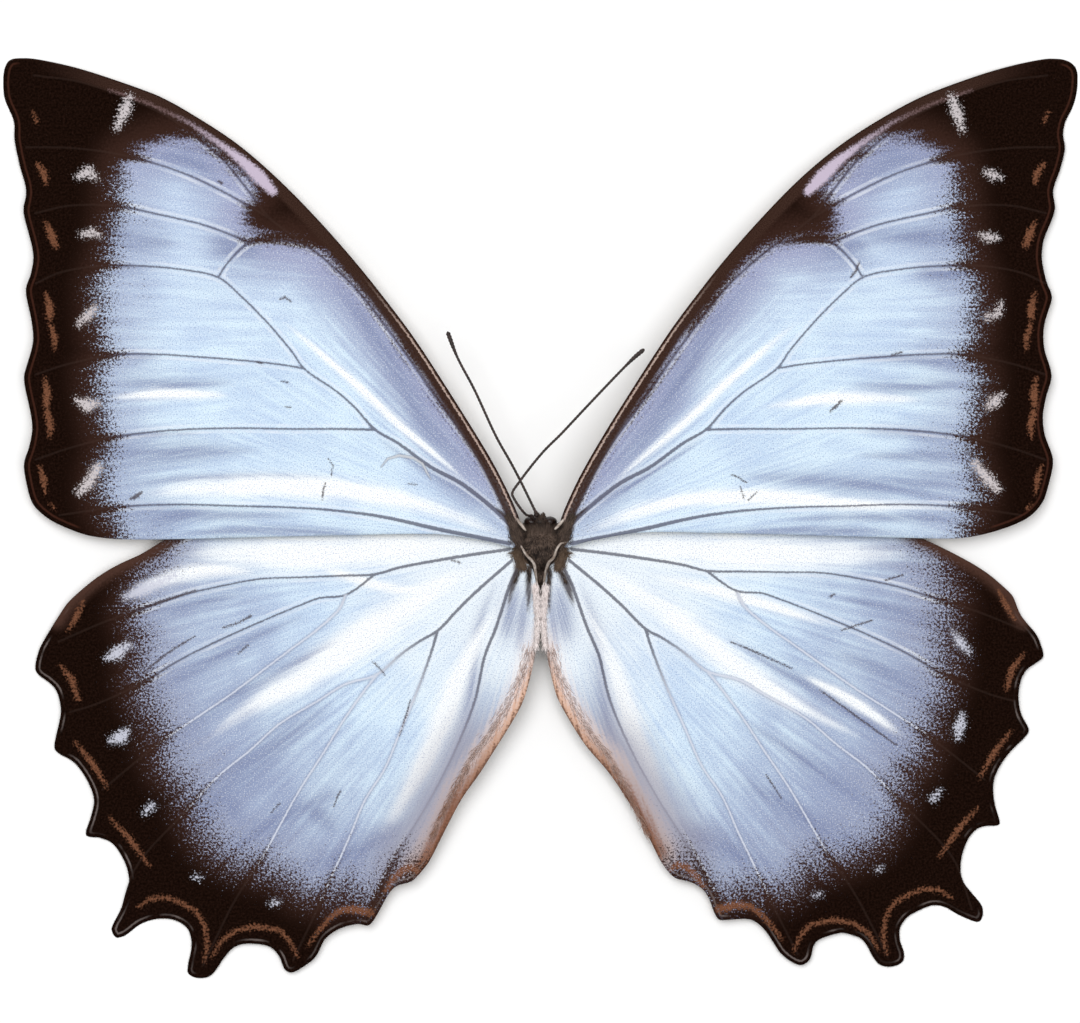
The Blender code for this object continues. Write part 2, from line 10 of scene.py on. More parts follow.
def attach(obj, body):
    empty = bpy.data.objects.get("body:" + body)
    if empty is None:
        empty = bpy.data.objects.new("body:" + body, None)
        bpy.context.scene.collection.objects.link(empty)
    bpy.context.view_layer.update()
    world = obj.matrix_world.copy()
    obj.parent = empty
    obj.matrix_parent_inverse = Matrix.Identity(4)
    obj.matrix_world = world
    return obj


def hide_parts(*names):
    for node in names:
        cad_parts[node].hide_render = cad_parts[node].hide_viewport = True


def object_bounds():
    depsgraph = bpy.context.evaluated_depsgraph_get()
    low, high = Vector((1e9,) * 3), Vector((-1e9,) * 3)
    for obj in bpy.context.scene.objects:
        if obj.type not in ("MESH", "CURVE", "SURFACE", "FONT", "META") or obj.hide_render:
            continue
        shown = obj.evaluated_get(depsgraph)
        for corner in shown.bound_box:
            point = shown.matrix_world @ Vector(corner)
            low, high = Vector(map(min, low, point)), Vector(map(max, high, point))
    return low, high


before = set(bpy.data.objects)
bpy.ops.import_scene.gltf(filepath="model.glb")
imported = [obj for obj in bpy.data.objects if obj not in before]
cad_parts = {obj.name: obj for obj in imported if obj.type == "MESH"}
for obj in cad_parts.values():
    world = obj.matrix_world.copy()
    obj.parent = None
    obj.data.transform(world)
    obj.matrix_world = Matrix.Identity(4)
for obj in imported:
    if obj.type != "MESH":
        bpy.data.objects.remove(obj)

# The looks of a spread blue butterfly. Lengths are in millimetres until a mesh is made, and the
# wings are drawn for the left side: those of the right side are flipped when they are made.
CAD_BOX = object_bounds()
MM = 0.001
BODY = "root"

# Wing shape, as in the frame: height of the underside at the root and reach to the surface
ROOT_HEIGHT = {"fore": 6.2, "hind": 5.0}
REACH = {"fore": 87.2, "hind": 69.8}
ROOT_RADIUS = 3.0
SAG_DEPTH = 0.2
SAG_WIDTH = 2.4
MEMBRANE = 0.18
MARGIN_THICKNESS = 0.07
MARGIN_WIDTH = 0.8
VEIN_RIDGE = 0.12
VEIN_WIDTH = 0.24
FOLD_HEIGHT = 0.14
RIGHT_HINDWING_TURN = math.radians(-1.4)
HINDWING_ROOT = np.array([-3.2, -0.5])
TIP_SLOPE = -0.9

# Wing mesh: spacing of its points, and the rows of points beside each vein
FINE_STEP = 0.36
RIM_STEP = 0.26
VEIN_STEP = 0.4
VEIN_ROWS = (-0.36, -0.17, 0.0, 0.17, 0.36)
ROW_SLACK = 0.03
NICK_ROWS = (-0.15, 0.0, 0.15)
NICK_STEP = 0.2
CLEAR_OF_RIM = 0.1
JITTER = 0.06
FRINGE_STEP = 0.13

# Main veins, from the root outwards
FOREWING_VEINS = [
    # radius
    [(-3.3, 2.5), (-7.6, 10.9), (-12.2, 17.3), (-17.0, 24.1), (-21.8, 30.4), (-25.5, 34.0),
     (-28.5, 36.4), (-32.5, 39.3), (-35.6, 43.2), (-38.4, 46.6), (-41.2, 49.0), (-44.8, 51.6),
     (-49.6, 53.9), (-55.7, 56.0), (-61.3, 56.8)],
    # cubitus, and the third medial vein that goes on from it
    [(-3.4, 2.1), (-4.9, 3.7), (-9.5, 7.4), (-13.2, 9.4), (-17.2, 12.3), (-19.9, 13.9),
     (-22.3, 16.5), (-24.4, 18.4), (-28.5, 21.3), (-30.1, 23.5), (-33.1, 27.0), (-36.2, 30.1),
     (-38.9, 32.3), (-43.6, 33.3), (-48.4, 33.7), (-53.3, 33.7), (-58.1, 32.9), (-61.0, 31.6)],
    # first and second cubital branches
    [(-28.5, 21.3), (-31.6, 21.8), (-36.3, 22.3), (-41.2, 22.7), (-45.9, 23.0), (-51.0, 23.0),
     (-56.9, 21.9), (-61.0, 20.6)],
    [(-19.9, 13.9), (-24.2, 14.0), (-30.1, 14.0), (-36.3, 14.1), (-41.7, 14.0), (-46.3, 13.7),
     (-51.7, 13.0), (-56.9, 11.7), (-61.0, 10.3)],
    # cross vein at the end of the cell
    [(-38.9, 32.3), (-37.8, 34.0), (-35.1, 36.5), (-32.3, 36.9), (-28.5, 36.4)],
    # second and first medial veins
    [(-35.1, 36.5), (-38.8, 38.0), (-41.2, 38.8), (-46.0, 39.9), (-50.9, 40.9), (-56.9, 41.0),
     (-61.1, 40.1)],
    [(-32.5, 39.3), (-35.5, 41.1), (-38.8, 42.9), (-43.6, 45.1), (-50.9, 47.2), (-56.9, 48.0),
     (-62.2, 48.1)],
    # anal vein
    [(-3.7, 0.2), (-12.2, 1.9), (-18.4, 3.3), (-22.3, 3.9), (-26.2, 4.3), (-31.6, 4.6),
     (-36.3, 4.7), (-43.6, 4.9), (-50.9, 4.6), (-58.1, 3.6)],
]
HINDWING_VEINS = [
    # costal vein, under the forewing
    [(-4.3, 0.5), (-12.2, 2.5), (-21.8, 3.5), (-31.5, 3.4), (-39.4, 2.2), (-46.0, -0.5),
     (-52.1, -3.7), (-55.9, -7.1)],
    # radial sector
    [(-3.7, -0.5), (-7.3, -1.0), (-12.2, -1.8), (-17.0, -2.7), (-19.9, -3.5), (-24.2, -3.7),
     (-29.1, -3.9), (-33.9, -4.1), (-38.8, -5.0), (-43.0, -6.0), (-47.2, -7.4), (-52.7, -9.3),
     (-58.3, -11.7)],
    # first and second medial veins
    [(-19.9, -3.5), (-23.5, -6.0), (-26.7, -6.4), (-29.1, -7.3), (-33.9, -9.3), (-38.8, -11.5),
     (-43.6, -13.9), (-48.4, -16.8), (-53.9, -19.3), (-56.9, -20.2)],
    [(-23.5, -6.0), (-24.2, -7.6), (-26.7, -10.0), (-30.3, -12.7), (-33.9, -15.4),
     (-37.5, -18.1), (-41.2, -20.6), (-46.0, -23.9), (-53.0, -29.6)],
    # cubitus, and the third medial vein that goes on from it
    [(-3.4, -1.8), (-7.3, -5.2), (-9.7, -7.5), (-12.4, -10.3), (-14.6, -11.6), (-17.0, -13.3),
     (-19.7, -15.6), (-23.6, -16.8), (-26.7, -18.7), (-31.5, -21.6), (-35.1, -24.8),
     (-38.8, -27.8), (-43.0, -32.3), (-49.0, -39.1), (-51.1, -45.3)],
    # first and second cubital branches, which end in the two tails
    [(-19.7, -15.6), (-21.2, -17.5), (-23.6, -20.9), (-26.4, -25.4), (-29.1, -29.6),
     (-31.5, -33.9), (-33.7, -37.9), (-36.9, -42.9), (-40.8, -50.8)],
    [(-12.4, -10.3), (-13.1, -12.7), (-14.6, -16.9), (-17.0, -22.7), (-18.8, -27.0),
     (-21.2, -30.8), (-23.0, -35.1), (-24.9, -39.3), (-27.3, -44.7), (-29.9, -50.2)],
    # anal vein
    [(-2.8, -2.8), (-3.7, -4.8), (-4.5, -7.3), (-5.5, -10.3), (-6.7, -13.3), (-7.9, -18.7),
     (-10.3, -24.8), (-13.4, -30.8), (-17.0, -36.9), (-20.4, -44.1)],
]

# The blue field of a forewing, closed well outside the wing on the side of the body
FORE_FIELD = [
    (-50.4, 46.6), (-50.9, 44.4), (-51.1, 41.7), (-51.5, 38.1), (-51.8, 35.4), (-53, 31.4),
    (-53, 28.4), (-52.8, 25.4), (-52.1, 23.3), (-53.4, 20.6), (-53, 17.5), (-52.5, 13.9),
    (-52.1, 11.5), (-52.7, 8.5), (-52.7, 6), (-51.6, 3.6), (-50.4, 0), (-50.4, -6.7),
    (9.6, -6.7), (9.6, 0.6), (-1.9, 3.3), (-4.1, 5.9), (-7.3, 10.9), (-10.7, 15.7),
    (-14.3, 20.7), (-16.7, 24.4), (-19.2, 27.5), (-21.7, 30.6), (-24.1, 33.1), (-26.7, 35.3),
    (-28.6, 36.4), (-30.5, 37), (-33, 37.2), (-34.9, 38), (-35.6, 39.3), (-35.1, 40.8),
    (-34.4, 42.1), (-34.6, 43.4), (-36.3, 44.9), (-38.3, 46.8), (-40.2, 48.6), (-42.1, 49.2),
    (-44, 49.2), (-46.3, 48.7), (-48.4, 47.9),
]
# The blue field of a hindwing, closed in the same way
HIND_FIELD = [
    (-45.4, 0), (-47.2, -2.4), (-48.6, -5.4), (-49.2, -8.1), (-48.2, -11.5), (-48.4, -16.3),
    (-47.7, -18.7), (-46.4, -20.9), (-46, -23.9), (-45, -26.7), (-42.7, -29), (-41.9, -31.8),
    (-40.6, -34.7), (-38.3, -36.9), (-34.5, -38.5), (-31.1, -39.5), (-28.7, -41.5),
    (-25.8, -42.3), (-23.6, -41.8), (-21.6, -42.6), (-19.9, -42), (-18.2, -40.3), (-16.5, -38.8),
    (-14.8, -38.6), (-12.9, -39.7), (-4.9, -42.9), (12, -42.9), (12, 7.9), (-45.4, 7.9),
]
# Cream spots in the border of a forewing, as strokes of (x, y, half width)
FORE_SPOTS = [
    [(-49.7, 54.1, 0.55), (-50.2, 52.6, 0.9), (-51.2, 50.4, 0.5)],
    [(-55.9, 44.5, 0.48), (-54.7, 45.1, 0.85), (-53.8, 44.4, 0.48)],
    [(-55.4, 37.6, 0.48), (-54.2, 37.7, 0.73), (-53.3, 37.4, 0.36)],
    [(-55.8, 26.7, 0.48), (-54.7, 27.7, 0.73), (-53.8, 28.7, 0.48)],
    [(-55.9, 17.5, 0.48), (-54.7, 16.9, 0.97), (-53.5, 17.1, 0.48)],
    [(-55.7, 6.4, 0.6), (-54.7, 7.3, 0.85), (-53.5, 9.3, 0.73)],
]
# Cream spots in the border of a hindwing
HIND_SPOTS = [
    [(-50.2, -6.3, 0.5), (-48.4, -5.5, 1), (-46.4, -4.6, 0.8), (-44, -3.6, 0.5)],
    [(-52.4, -13.7, 0.48), (-51.2, -13.1, 0.97), (-49.9, -12.1, 0.6)],
    [(-51.8, -23.6, 0.6), (-50.7, -23.2, 0.97), (-49.9, -22.4, 0.48)],
    [(-47.8, -32.3, 0.48), (-47, -31.6, 0.6)],
    [(-41.8, -40.1, 0.36), (-41.2, -40.3, 0.36)],
    [(-32.6, -43.4, 0.36), (-31.9, -43.2, 0.48)],
]
# Orange marks along the margin of a forewing
FORE_ORANGE = [
    [(-61.4, 52.4, 0.24), (-60.9, 51.2, 0.3)],
    [(-60.8, 46, 0.36), (-60, 44.9, 0.54), (-59.8, 43.8, 0.36)],
    [(-59.8, 39.1, 0.24), (-59.2, 37.7, 0.6), (-58.6, 36.2, 0.48)],
    [(-59.8, 30.6, 0.24), (-59.3, 28.7, 0.6), (-59.3, 27.5, 0.48)],
    [(-59.2, 26.5, 0.36), (-58.7, 25, 0.48), (-58.7, 23.6, 0.24)],
    [(-59.9, 20.3, 0.24), (-59.6, 18.3, 0.6), (-59.7, 16.9, 0.48)],
    [(-59.6, 16.1, 0.48), (-59.2, 14.5, 0.54), (-59.3, 12.9, 0.24)],
    [(-60.5, 9.6, 0.24), (-60, 7.9, 0.48), (-59.8, 6.2, 0.24)],
    [(-59.3, 5, 0.18), (-58.7, 4.4, 0.24)],
]
# Orange crescents along the margin of a hindwing
HIND_ORANGE = [
    [(-55.2, -6.7, 0.24), (-56.1, -8.6, 0.48), (-57.1, -10.4, 0.24)],
    [(-58.1, -14.5, 0.24), (-56.7, -16.2, 0.48), (-55.9, -18.7, 0.36)],
    [(-56.3, -23.8, 0.24), (-54.1, -26.5, 0.48), (-52.4, -29.3, 0.24)],
    [(-52.1, -33, 0.24), (-49.6, -35.6, 0.48), (-47.3, -38.8, 0.24)],
    [(-48.7, -43.8, 0.24), (-47.2, -42.8, 0.36), (-45.4, -42.6, 0.36), (-43.6, -43.2, 0.36),
     (-41.7, -44.3, 0.36), (-40.6, -46, 0.36), (-40.3, -48.4, 0.36), (-40.7, -50.4, 0.24)],
    [(-39.7, -49.8, 0.24), (-38.5, -47.8, 0.36), (-36.8, -46.6, 0.36), (-34.4, -46.1, 0.42),
     (-31.5, -46.6, 0.36), (-30.3, -47.9, 0.36), (-29.4, -49.8, 0.24)],
    [(-28.1, -48.4, 0.24), (-26.8, -46.6, 0.36), (-25.5, -45.1, 0.42), (-24.1, -44.1, 0.48),
     (-22.6, -44, 0.6), (-20.5, -44.4, 0.6)],
    [(-18.7, -41.7, 0.36), (-17.8, -40.3, 0.48), (-16.6, -39.2, 0.54), (-15.5, -38.9, 0.48),
     (-14.8, -39.5, 0.36)],
]
# The pinkish streak between the veins of the front edge
FORE_PINK = [
    [(-52.1, 55, 0.12), (-47.2, 53.3, 0.18), (-42.4, 51, 0.24), (-38.5, 48.3, 0.36),
     (-36, 46.4, 0.62), (-34, 44.5, 0.85), (-32.3, 42.7, 0.55)],
]
# Painted highlights along the fold ridges of a forewing, which are also raised a little in the mesh
FORE_FOLD_HIGHLIGHTS = [
    [(-48.4, 6.2, 0.6), (-41.2, 6.8, 0.97), (-29.1, 7, 1.09), (-19.4, 6, 0.97),
     (-12.2, 4.2, 0.85), (-4.3, 1.1, 0.48)],
    [(-31.1, 27, 0.2), (-26.7, 23.3, 0.36), (-21.8, 19, 0.42), (-17, 14.5, 0.42),
     (-12.2, 10.5, 0.28), (-8.5, 7.4, 0.16)],
    [(-52.1, 17.8, 0.3), (-46, 18.2, 0.48), (-37.5, 18.1, 0.36)],
]
# Painted lavender shade along the fold valleys of a forewing, which are also lowered a little in the mesh
FORE_FOLD_SHADE = [
    [(-52.3, 6.9, 0.48), (-47.2, 7.6, 0.6), (-41.2, 8.1, 0.36), (-32.7, 8.3, 0.24),
     (-24.2, 8, 0.12)],
    [(-52.7, 12.7, 0.73), (-48.4, 13.2, 0.36), (-41.2, 13.4, 0.12)],
    [(-52.1, 22.7, 0.48), (-46, 22.7, 0.24)],
    [(-52.1, 20.2, 0.73), (-46, 19.3, 0.73), (-37.5, 19.6, 0.36)],
    [(-7.3, 8.1, 0.97), (-13.4, 13.9, 1.09), (-17, 20, 1.09), (-20.6, 26, 0.97),
     (-25.5, 32, 0.6)],
    [(-52.1, 33.5, 0.6), (-47.2, 33.5, 0.36)],
    [(-4.9, 4, 0.73), (-12.2, 7.9, 0.36), (-19.4, 12.7, 0.12)],
    [(-51.5, 4, 2.2), (-46.5, 3.6, 1.9), (-41.2, 3.6, 0.8), (-29.1, 3.5, 0.36)],
    [(-53.4, 10.4, 1.9), (-48, 10.9, 1.6), (-41, 11.2, 0.9), (-34, 11.4, 0.2)],
    [(-45, 1.3, 0.5), (-35, 1.7, 0.6), (-22, 1.5, 0.3)],
    [(-48, 46.4, 1.2), (-43, 47, 1.2), (-38.5, 43.5, 0.9)],
    [(-40, 36.6, 0.8), (-36.6, 35.6, 1.3), (-33.6, 35.4, 0.6)],
    [(-53, 37.6, 1.3), (-49, 36.8, 1.1), (-44, 36.4, 0.6)],
]
# Painted highlights along the fold ridges of a hindwing, which are also raised a little in the mesh
HIND_FOLD_HIGHLIGHTS = [
    [(-40.6, -23.8, 0.36), (-35.1, -19.6, 0.85), (-29.1, -16.3, 1.33), (-23, -12.1, 1.81),
     (-17, -7.9, 1.69), (-10.9, -4.2, 1.09), (-4.9, -1.8, 0.6)],
    [(-49, -5.7, 0.48), (-45.4, -4, 0.73), (-40, -3, 0.73), (-33.9, -3.3, 0.48)],
    [(-43.6, -1, 0.97), (-33.9, -1, 1.69), (-21.8, -0.8, 1.69), (-10.9, -0.1, 1.09),
     (-4.3, -0.1, 0.48)],
    [(-4.9, -6.7, 0.36), (-9.5, -15.1, 0.97), (-12.2, -22.4, 1.21), (-15.2, -28.4, 0.97),
     (-18.8, -34.5, 0.6)],
    [(-29.1, -1.8, 0.48), (-17, -5.4, 0.6), (-9.7, -5.4, 0.6)],
]
# Painted lavender shade along the fold valleys of a hindwing, which are also lowered a little in the mesh
HIND_FOLD_SHADE = [
    [(-46, -17.5, 0.6), (-41.2, -14.9, 0.6), (-35.1, -11.5, 0.36), (-29.1, -8.8, 0.12)],
    [(-44.2, -24.2, 0.6), (-38.8, -19.5, 0.48), (-30.3, -14.9, 0.6), (-23, -10.8, 0.36),
     (-17, -7, 0.12)],
    [(-43, -34.5, 1.21), (-38.2, -30, 1.45), (-32.7, -25, 1.09), (-25.5, -19.3, 0.36)],
    [(-38.2, -36.9, 0.73), (-30.3, -32.7, 0.97), (-24.2, -29.6, 0.48)],
    [(-29.1, -39.3, 0.97), (-21.8, -36.9, 0.97), (-15.8, -33.3, 0.73)],
    [(-5.5, -4.8, 0.36), (-7.6, -10.3, 0.48), (-8.5, -18.7, 0.85), (-10.9, -27.2, 1.09),
     (-14.6, -33.3, 1.09)],
    [(-47.2, -9.1, 0.6), (-42.4, -7.4, 0.48), (-36.3, -5.9, 0.24)],
    [(-38.6, -28.4, 0.8), (-37.4, -31.4, 1), (-36, -34, 0.7)],
    [(-29, -31, 0.8), (-26.4, -33, 1.2), (-24.6, -35, 0.8)],
    [(-2.7, -4.4, 0.5), (-3.6, -7.6, 1), (-4.2, -11.6, 0.8)],
    [(-1.7, -5, 0.4), (-2.2, -9, 0.7), (-2.6, -13, 0.5)],
]
# The same marks where those of the right wings differ
FORE_SPOTS_RIGHT = [
    [(-49.7, 54.1, 0.6), (-50.3, 52.3, 0.85), (-51, 50.2, 0.48)],
    [(-55.7, 44.4, 0.36), (-54.7, 44.7, 0.73), (-53.9, 45.1, 0.48)],
    [(-55.1, 37.1, 0.48), (-54.1, 37.2, 0.73), (-53.1, 37.4, 0.36)],
    [(-55.7, 29.3, 0.36), (-55.2, 27.9, 0.6), (-53.9, 27.5, 0.48)],
    [(-55.7, 18.1, 0.48), (-54.8, 17.3, 0.85), (-54.1, 16.6, 0.48)],
    [(-55.2, 6.7, 0.6), (-54.1, 7.9, 0.85), (-52.5, 9.8, 0.6)],
]
HIND_SPOTS_RIGHT = [
    [(-49.9, -10.5, 0.36), (-50.7, -11.7, 0.73), (-51.7, -12.9, 0.48)],
    [(-51, -20.4, 0.36), (-50.7, -21.8, 0.85), (-50.5, -23.2, 0.48)],
    [(-48.3, -29.7, 0.36), (-47.5, -30.6, 0.6)],
    [(-41.4, -39.1, 0.24), (-40.8, -39.3, 0.36)],
    [(-34, -42.1, 0.24), (-33.2, -42.4, 0.36)],
]
# Painted highlights along the fold ridges of the right forewing
FORE_FOLD_HIGHLIGHTS_RIGHT = [
    [(-49.6, 4.6, 0.4), (-38.8, 4.9, 0.6), (-26.7, 5.8, 0.8), (-17, 5.4, 0.7),
     (-12.2, 4.2, 0.85), (-4.3, 1.1, 0.48)],
    FORE_FOLD_HIGHLIGHTS[1],
    [(-46, 17.5, 0.36), (-36.3, 17.8, 0.6), (-26.7, 16.6, 0.36)],
]
# Painted lavender shade along the fold valleys of the right forewing
FORE_FOLD_SHADE_RIGHT = [
    [(-53.4, 7.9, 2.2), (-47.2, 7.2, 1.7), (-40, 7.2, 1.2), (-32.7, 7.8, 0.9),
     (-24.2, 8.3, 0.5)],
    [(-53, 37, 1.5), (-46, 37.4, 1.2), (-38, 37.2, 0.7)],
    [(-48, 46, 2), (-43, 46.6, 2), (-38.5, 43.5, 1.3)],
    FORE_FOLD_SHADE[11],
    FORE_FOLD_SHADE[9],
    [(-52.6, 10.3, 0.9), (-46, 10.6, 0.6), (-38, 10.8, 0.2)],
    [(-52.7, 12.7, 0.97), (-47.2, 13.4, 0.73), (-38.8, 13.9, 0.36)],
    [(-52.8, 21.8, 0.97), (-46, 22.4, 0.6), (-37.5, 22.7, 0.24)],
    [(-52.1, 19.7, 0.73), (-46, 19, 0.73), (-37.5, 19.2, 0.36)],
    FORE_FOLD_SHADE[4],
    [(-52.6, 32.7, 1.2), (-44.8, 33, 0.8)],
    FORE_FOLD_SHADE[6],
    [(-52.1, 3, 0.6), (-41.2, 3.3, 0.48), (-29.1, 3.1, 0.36)],
]
# Painted highlights along the fold ridges of the right hindwing
HIND_FOLD_HIGHLIGHTS_RIGHT = [
    [(-38.2, -23, 0.36), (-32.7, -20.2, 0.73), (-27.9, -17.5, 1.09), (-21.8, -13.3, 1.33),
     (-14.6, -7.6, 1.21), (-4.9, -1.8, 0.6)],
    HIND_FOLD_HIGHLIGHTS[2],
    [(-5.1, -6.7, 0.36), (-9, -15.1, 0.85), (-11.2, -22.4, 1.09), (-14, -29.6, 0.85),
     (-17.2, -34.5, 0.48)],
    [(-35.1, -9.7, 0.36), (-25.5, -6.7, 0.6), (-13.4, -3.6, 0.6)],
    [(-43.6, -23, 0.48), (-37.5, -18.7, 0.48), (-31.5, -15.7, 0.36)],
]
# Painted lavender shade along the fold valleys of the right hindwing
HIND_FOLD_SHADE_RIGHT = [
    [(-45, -26.2, 0.97), (-37.5, -20.2, 0.73), (-30.3, -15.8, 0.6), (-23, -11.5, 0.24)],
    [(-41.7, -33, 0.97), (-35.1, -28.4, 0.73), (-29.1, -24.2, 0.48), (-24.2, -21.2, 0.24)],
    [(-47.6, -19, 0.97), (-41.2, -15.2, 0.73), (-35.1, -12.9, 0.24)],
    [(-39.4, -36.9, 1.21), (-31.5, -32.7, 1.09), (-24.2, -28.4, 0.6)],
    [(-29.1, -39.1, 0.97), (-21.8, -36.6, 0.97), (-15.8, -33.3, 0.73)],
    [(-4.9, -4.8, 0.36), (-6.8, -10.3, 0.6), (-7.6, -17.5, 0.85), (-9.5, -26, 1.09),
     (-13.4, -32.7, 0.97)],
    [(-47.5, -9.7, 0.73), (-42.4, -7.9, 0.48), (-36.3, -6.4, 0.24)],
    [(-2, -4.4, 0.6), (-2.6, -8, 1.1), (-3.3, -12, 0.8)],
    [(-1.3, -5, 0.4), (-1.6, -9, 0.6), (-2, -13, 0.4)],
]
# Small dark nicks and loose scales
FORE_NICKS = [
    [(-31.4, 29.7, 0.1), (-30.8, 29.9, 0.17), (-30.1, 29.4, 0.08)],
    [(-49.5, 5.6, 0.15), (-48.9, 5.8, 0.29), (-48.1, 6.4, 0.12)],
    [(-25.9, 7.5, 0.08), (-26.2, 6.5, 0.13), (-26.3, 5.4, 0.06)],
    [(-25.6, 10.4, 0.06), (-25, 9.6, 0.07), (-25.2, 8.5, 0.1)],
    [(-31.3, 19.8, 0.07), (-30.5, 19.6, 0.11)],
    [(-16, 7.4, 0.07), (-14.9, 7.3, 0.08)],
    [(-30.8, 16.7, 0.07), (-30.1, 16.6, 0.08)],
    [(-34.2, 22.1, 0.08), (-33.6, 21.9, 0.12)],
    [(-38.9, 43.9, 0.15), (-38.5, 43.7, 0.19)],
]
FORE_NICKS_RIGHT = [
    [(-24.9, 7.5, 0.08), (-23.6, 8.3, 0.1), (-22.8, 8.5, 0.06)],
    [(-24.1, 7, 0.07), (-24.5, 5.7, 0.1)],
    [(-26.1, 6.4, 0.07), (-25, 5.4, 0.07)],
    [(-36.3, 17.4, 0.15), (-35.5, 16.6, 0.19), (-34.9, 16.1, 0.1)],
    [(-38.5, 34.2, 0.1), (-38, 33, 0.17), (-37.4, 32.3, 0.1)],
    [(-43.6, 23.3, 0.11), (-42.4, 22.9, 0.11)],
]
HIND_NICKS = [
    [(-48.8, -7.9, 0.17), (-45.4, -6.7, 0.19), (-41.5, -5.4, 0.08)],
    [(-38.3, -10, 0.11), (-36.3, -9.3, 0.12), (-34.9, -8.5, 0.15)],
    [(-47.7, -15.2, 0.15), (-45.4, -13.3, 0.15), (-42.9, -11.7, 0.11), (-41.7, -11, 0.06)],
    [(-36.5, -13.1, 0.08), (-35.3, -12.1, 0.1)],
    [(-20.3, -14, 0.06), (-19.4, -14.9, 0.12), (-18.7, -15.7, 0.06)],
    [(-25, -31.6, 0.06), (-24.5, -30.4, 0.1), (-24.1, -29.6, 0.05)],
    [(-32.5, -32.3, 0.07), (-31.5, -31.2, 0.1)],
    [(-10.7, -1.8, 0.08), (-9.7, -2.1, 0.11)],
    [(-17, -23, 0.06), (-16.1, -20.2, 0.1), (-15.7, -18.7, 0.06)],
]
HIND_NICKS_RIGHT = [
    [(-40, -9.1, 0.11), (-36.3, -10.3, 0.08)],
    [(-30.3, -14.9, 0.07), (-25.5, -12.7, 0.12), (-23, -11.7, 0.07)],
    [(-43, -24.2, 0.1), (-37.5, -20.2, 0.13), (-33.7, -17.5, 0.07)],
    [(-29.1, -30.6, 0.06), (-27.3, -27.8, 0.11)],
    [(-43.8, -3.6, 0.1), (-41.7, -4.2, 0.1)],
    [(-35.5, -5.9, 0.11), (-34.9, -6.3, 0.12)],
]
# A curled pale scratch beside the cell of the left forewing
FORE_CURL = [
    [(-19.2, 9.4, 0.05), (-18.4, 10.4, 0.12), (-17, 10.8, 0.16), (-15.3, 10.5, 0.16),
     (-14.2, 9.8, 0.15), (-13.7, 8.8, 0.12), (-13.2, 7.9, 0.05)],
]
MARKS = {
    "fore": {"spots": FORE_SPOTS, "orange": FORE_ORANGE, "pink": FORE_PINK, "fold_highlight": FORE_FOLD_HIGHLIGHTS,
             "fold_shade": FORE_FOLD_SHADE, "nicks": FORE_NICKS},
    "hind": {"spots": HIND_SPOTS, "orange": HIND_ORANGE, "fold_highlight": HIND_FOLD_HIGHLIGHTS, "fold_shade": HIND_FOLD_SHADE,
             "nicks": HIND_NICKS},
}
RIGHT_MARKS = {
    "fore": {"spots": FORE_SPOTS_RIGHT, "fold_highlight": FORE_FOLD_HIGHLIGHTS_RIGHT, "fold_shade": FORE_FOLD_SHADE_RIGHT,
             "nicks": FORE_NICKS_RIGHT},
    "hind": {"spots": HIND_SPOTS_RIGHT, "fold_highlight": HIND_FOLD_HIGHLIGHTS_RIGHT, "fold_shade": HIND_FOLD_SHADE_RIGHT,
             "nicks": HIND_NICKS_RIGHT},
}

# Soft strokes: the share and width of their glow, and where along them it fades out
FAR_OUTSIDE = -99.0
GLOW_STEP = 2.0
GLOW_ENDS = (0.02, 0.98)
GLOW_CORE = 0.65
GLOW_SKIRT = 2.4
NARROWEST_GLOW = 0.2

# Streaks run away from the root, and in the outer part of a forewing away from a far point.
# The veins of a hindwing that are pale in their outer half, by their places in the list.
FAR_POINT = np.array([57.0, 24.5])
PALE_VEINS = (3, 4, 5, 6)
# How much wider the dark border is on the right forewing
RIGHT_BORDER = 0.7

# Dark stains at the wing roots, as strokes
STAINS = {
    ("fore", 1): [[(-2.6, 1.9, 0.45), (-4, 3.3, 0.2), (-5.6, 4.7, 0.08)]],
    ("fore", -1): [[(-2.6, 1.9, 0.45), (-4, 3.1, 0.2), (-5.8, 4.7, 0.08)]],
    ("hind", 1): [[(-1.9, -1.6, 0.8), (-2.7, -3.0, 0.42), (-3.3, -4.8, 0.3), (-4.0, -7.8, 0.14)],
                  [(-1.3, -2.0, 0.6), (-1.45, -4.2, 0.34), (-1.4, -6.4, 0.28), (-1.5, -8.6, 0.12)]],
    ("hind", -1): [[(-1.7, -1.6, 0.8), (-2.4, -3.0, 0.5), (-3.3, -5.0, 0.42), (-4.1, -7.6, 0.2)],
                   [(-1.0, -2.2, 0.6), (-1.0, -4.6, 0.3), (-1.1, -8.4, 0.14)]],
}

# Places of the materials in the lists of the pieces
TOP, UNDERSIDE, FRINGE, DARK_HAIR, OLIVE_HAIR, PALE_HAIR = range(6)
HAIR, SHELL, RIDGE = range(3)
EYE = 2
SPINE = 1

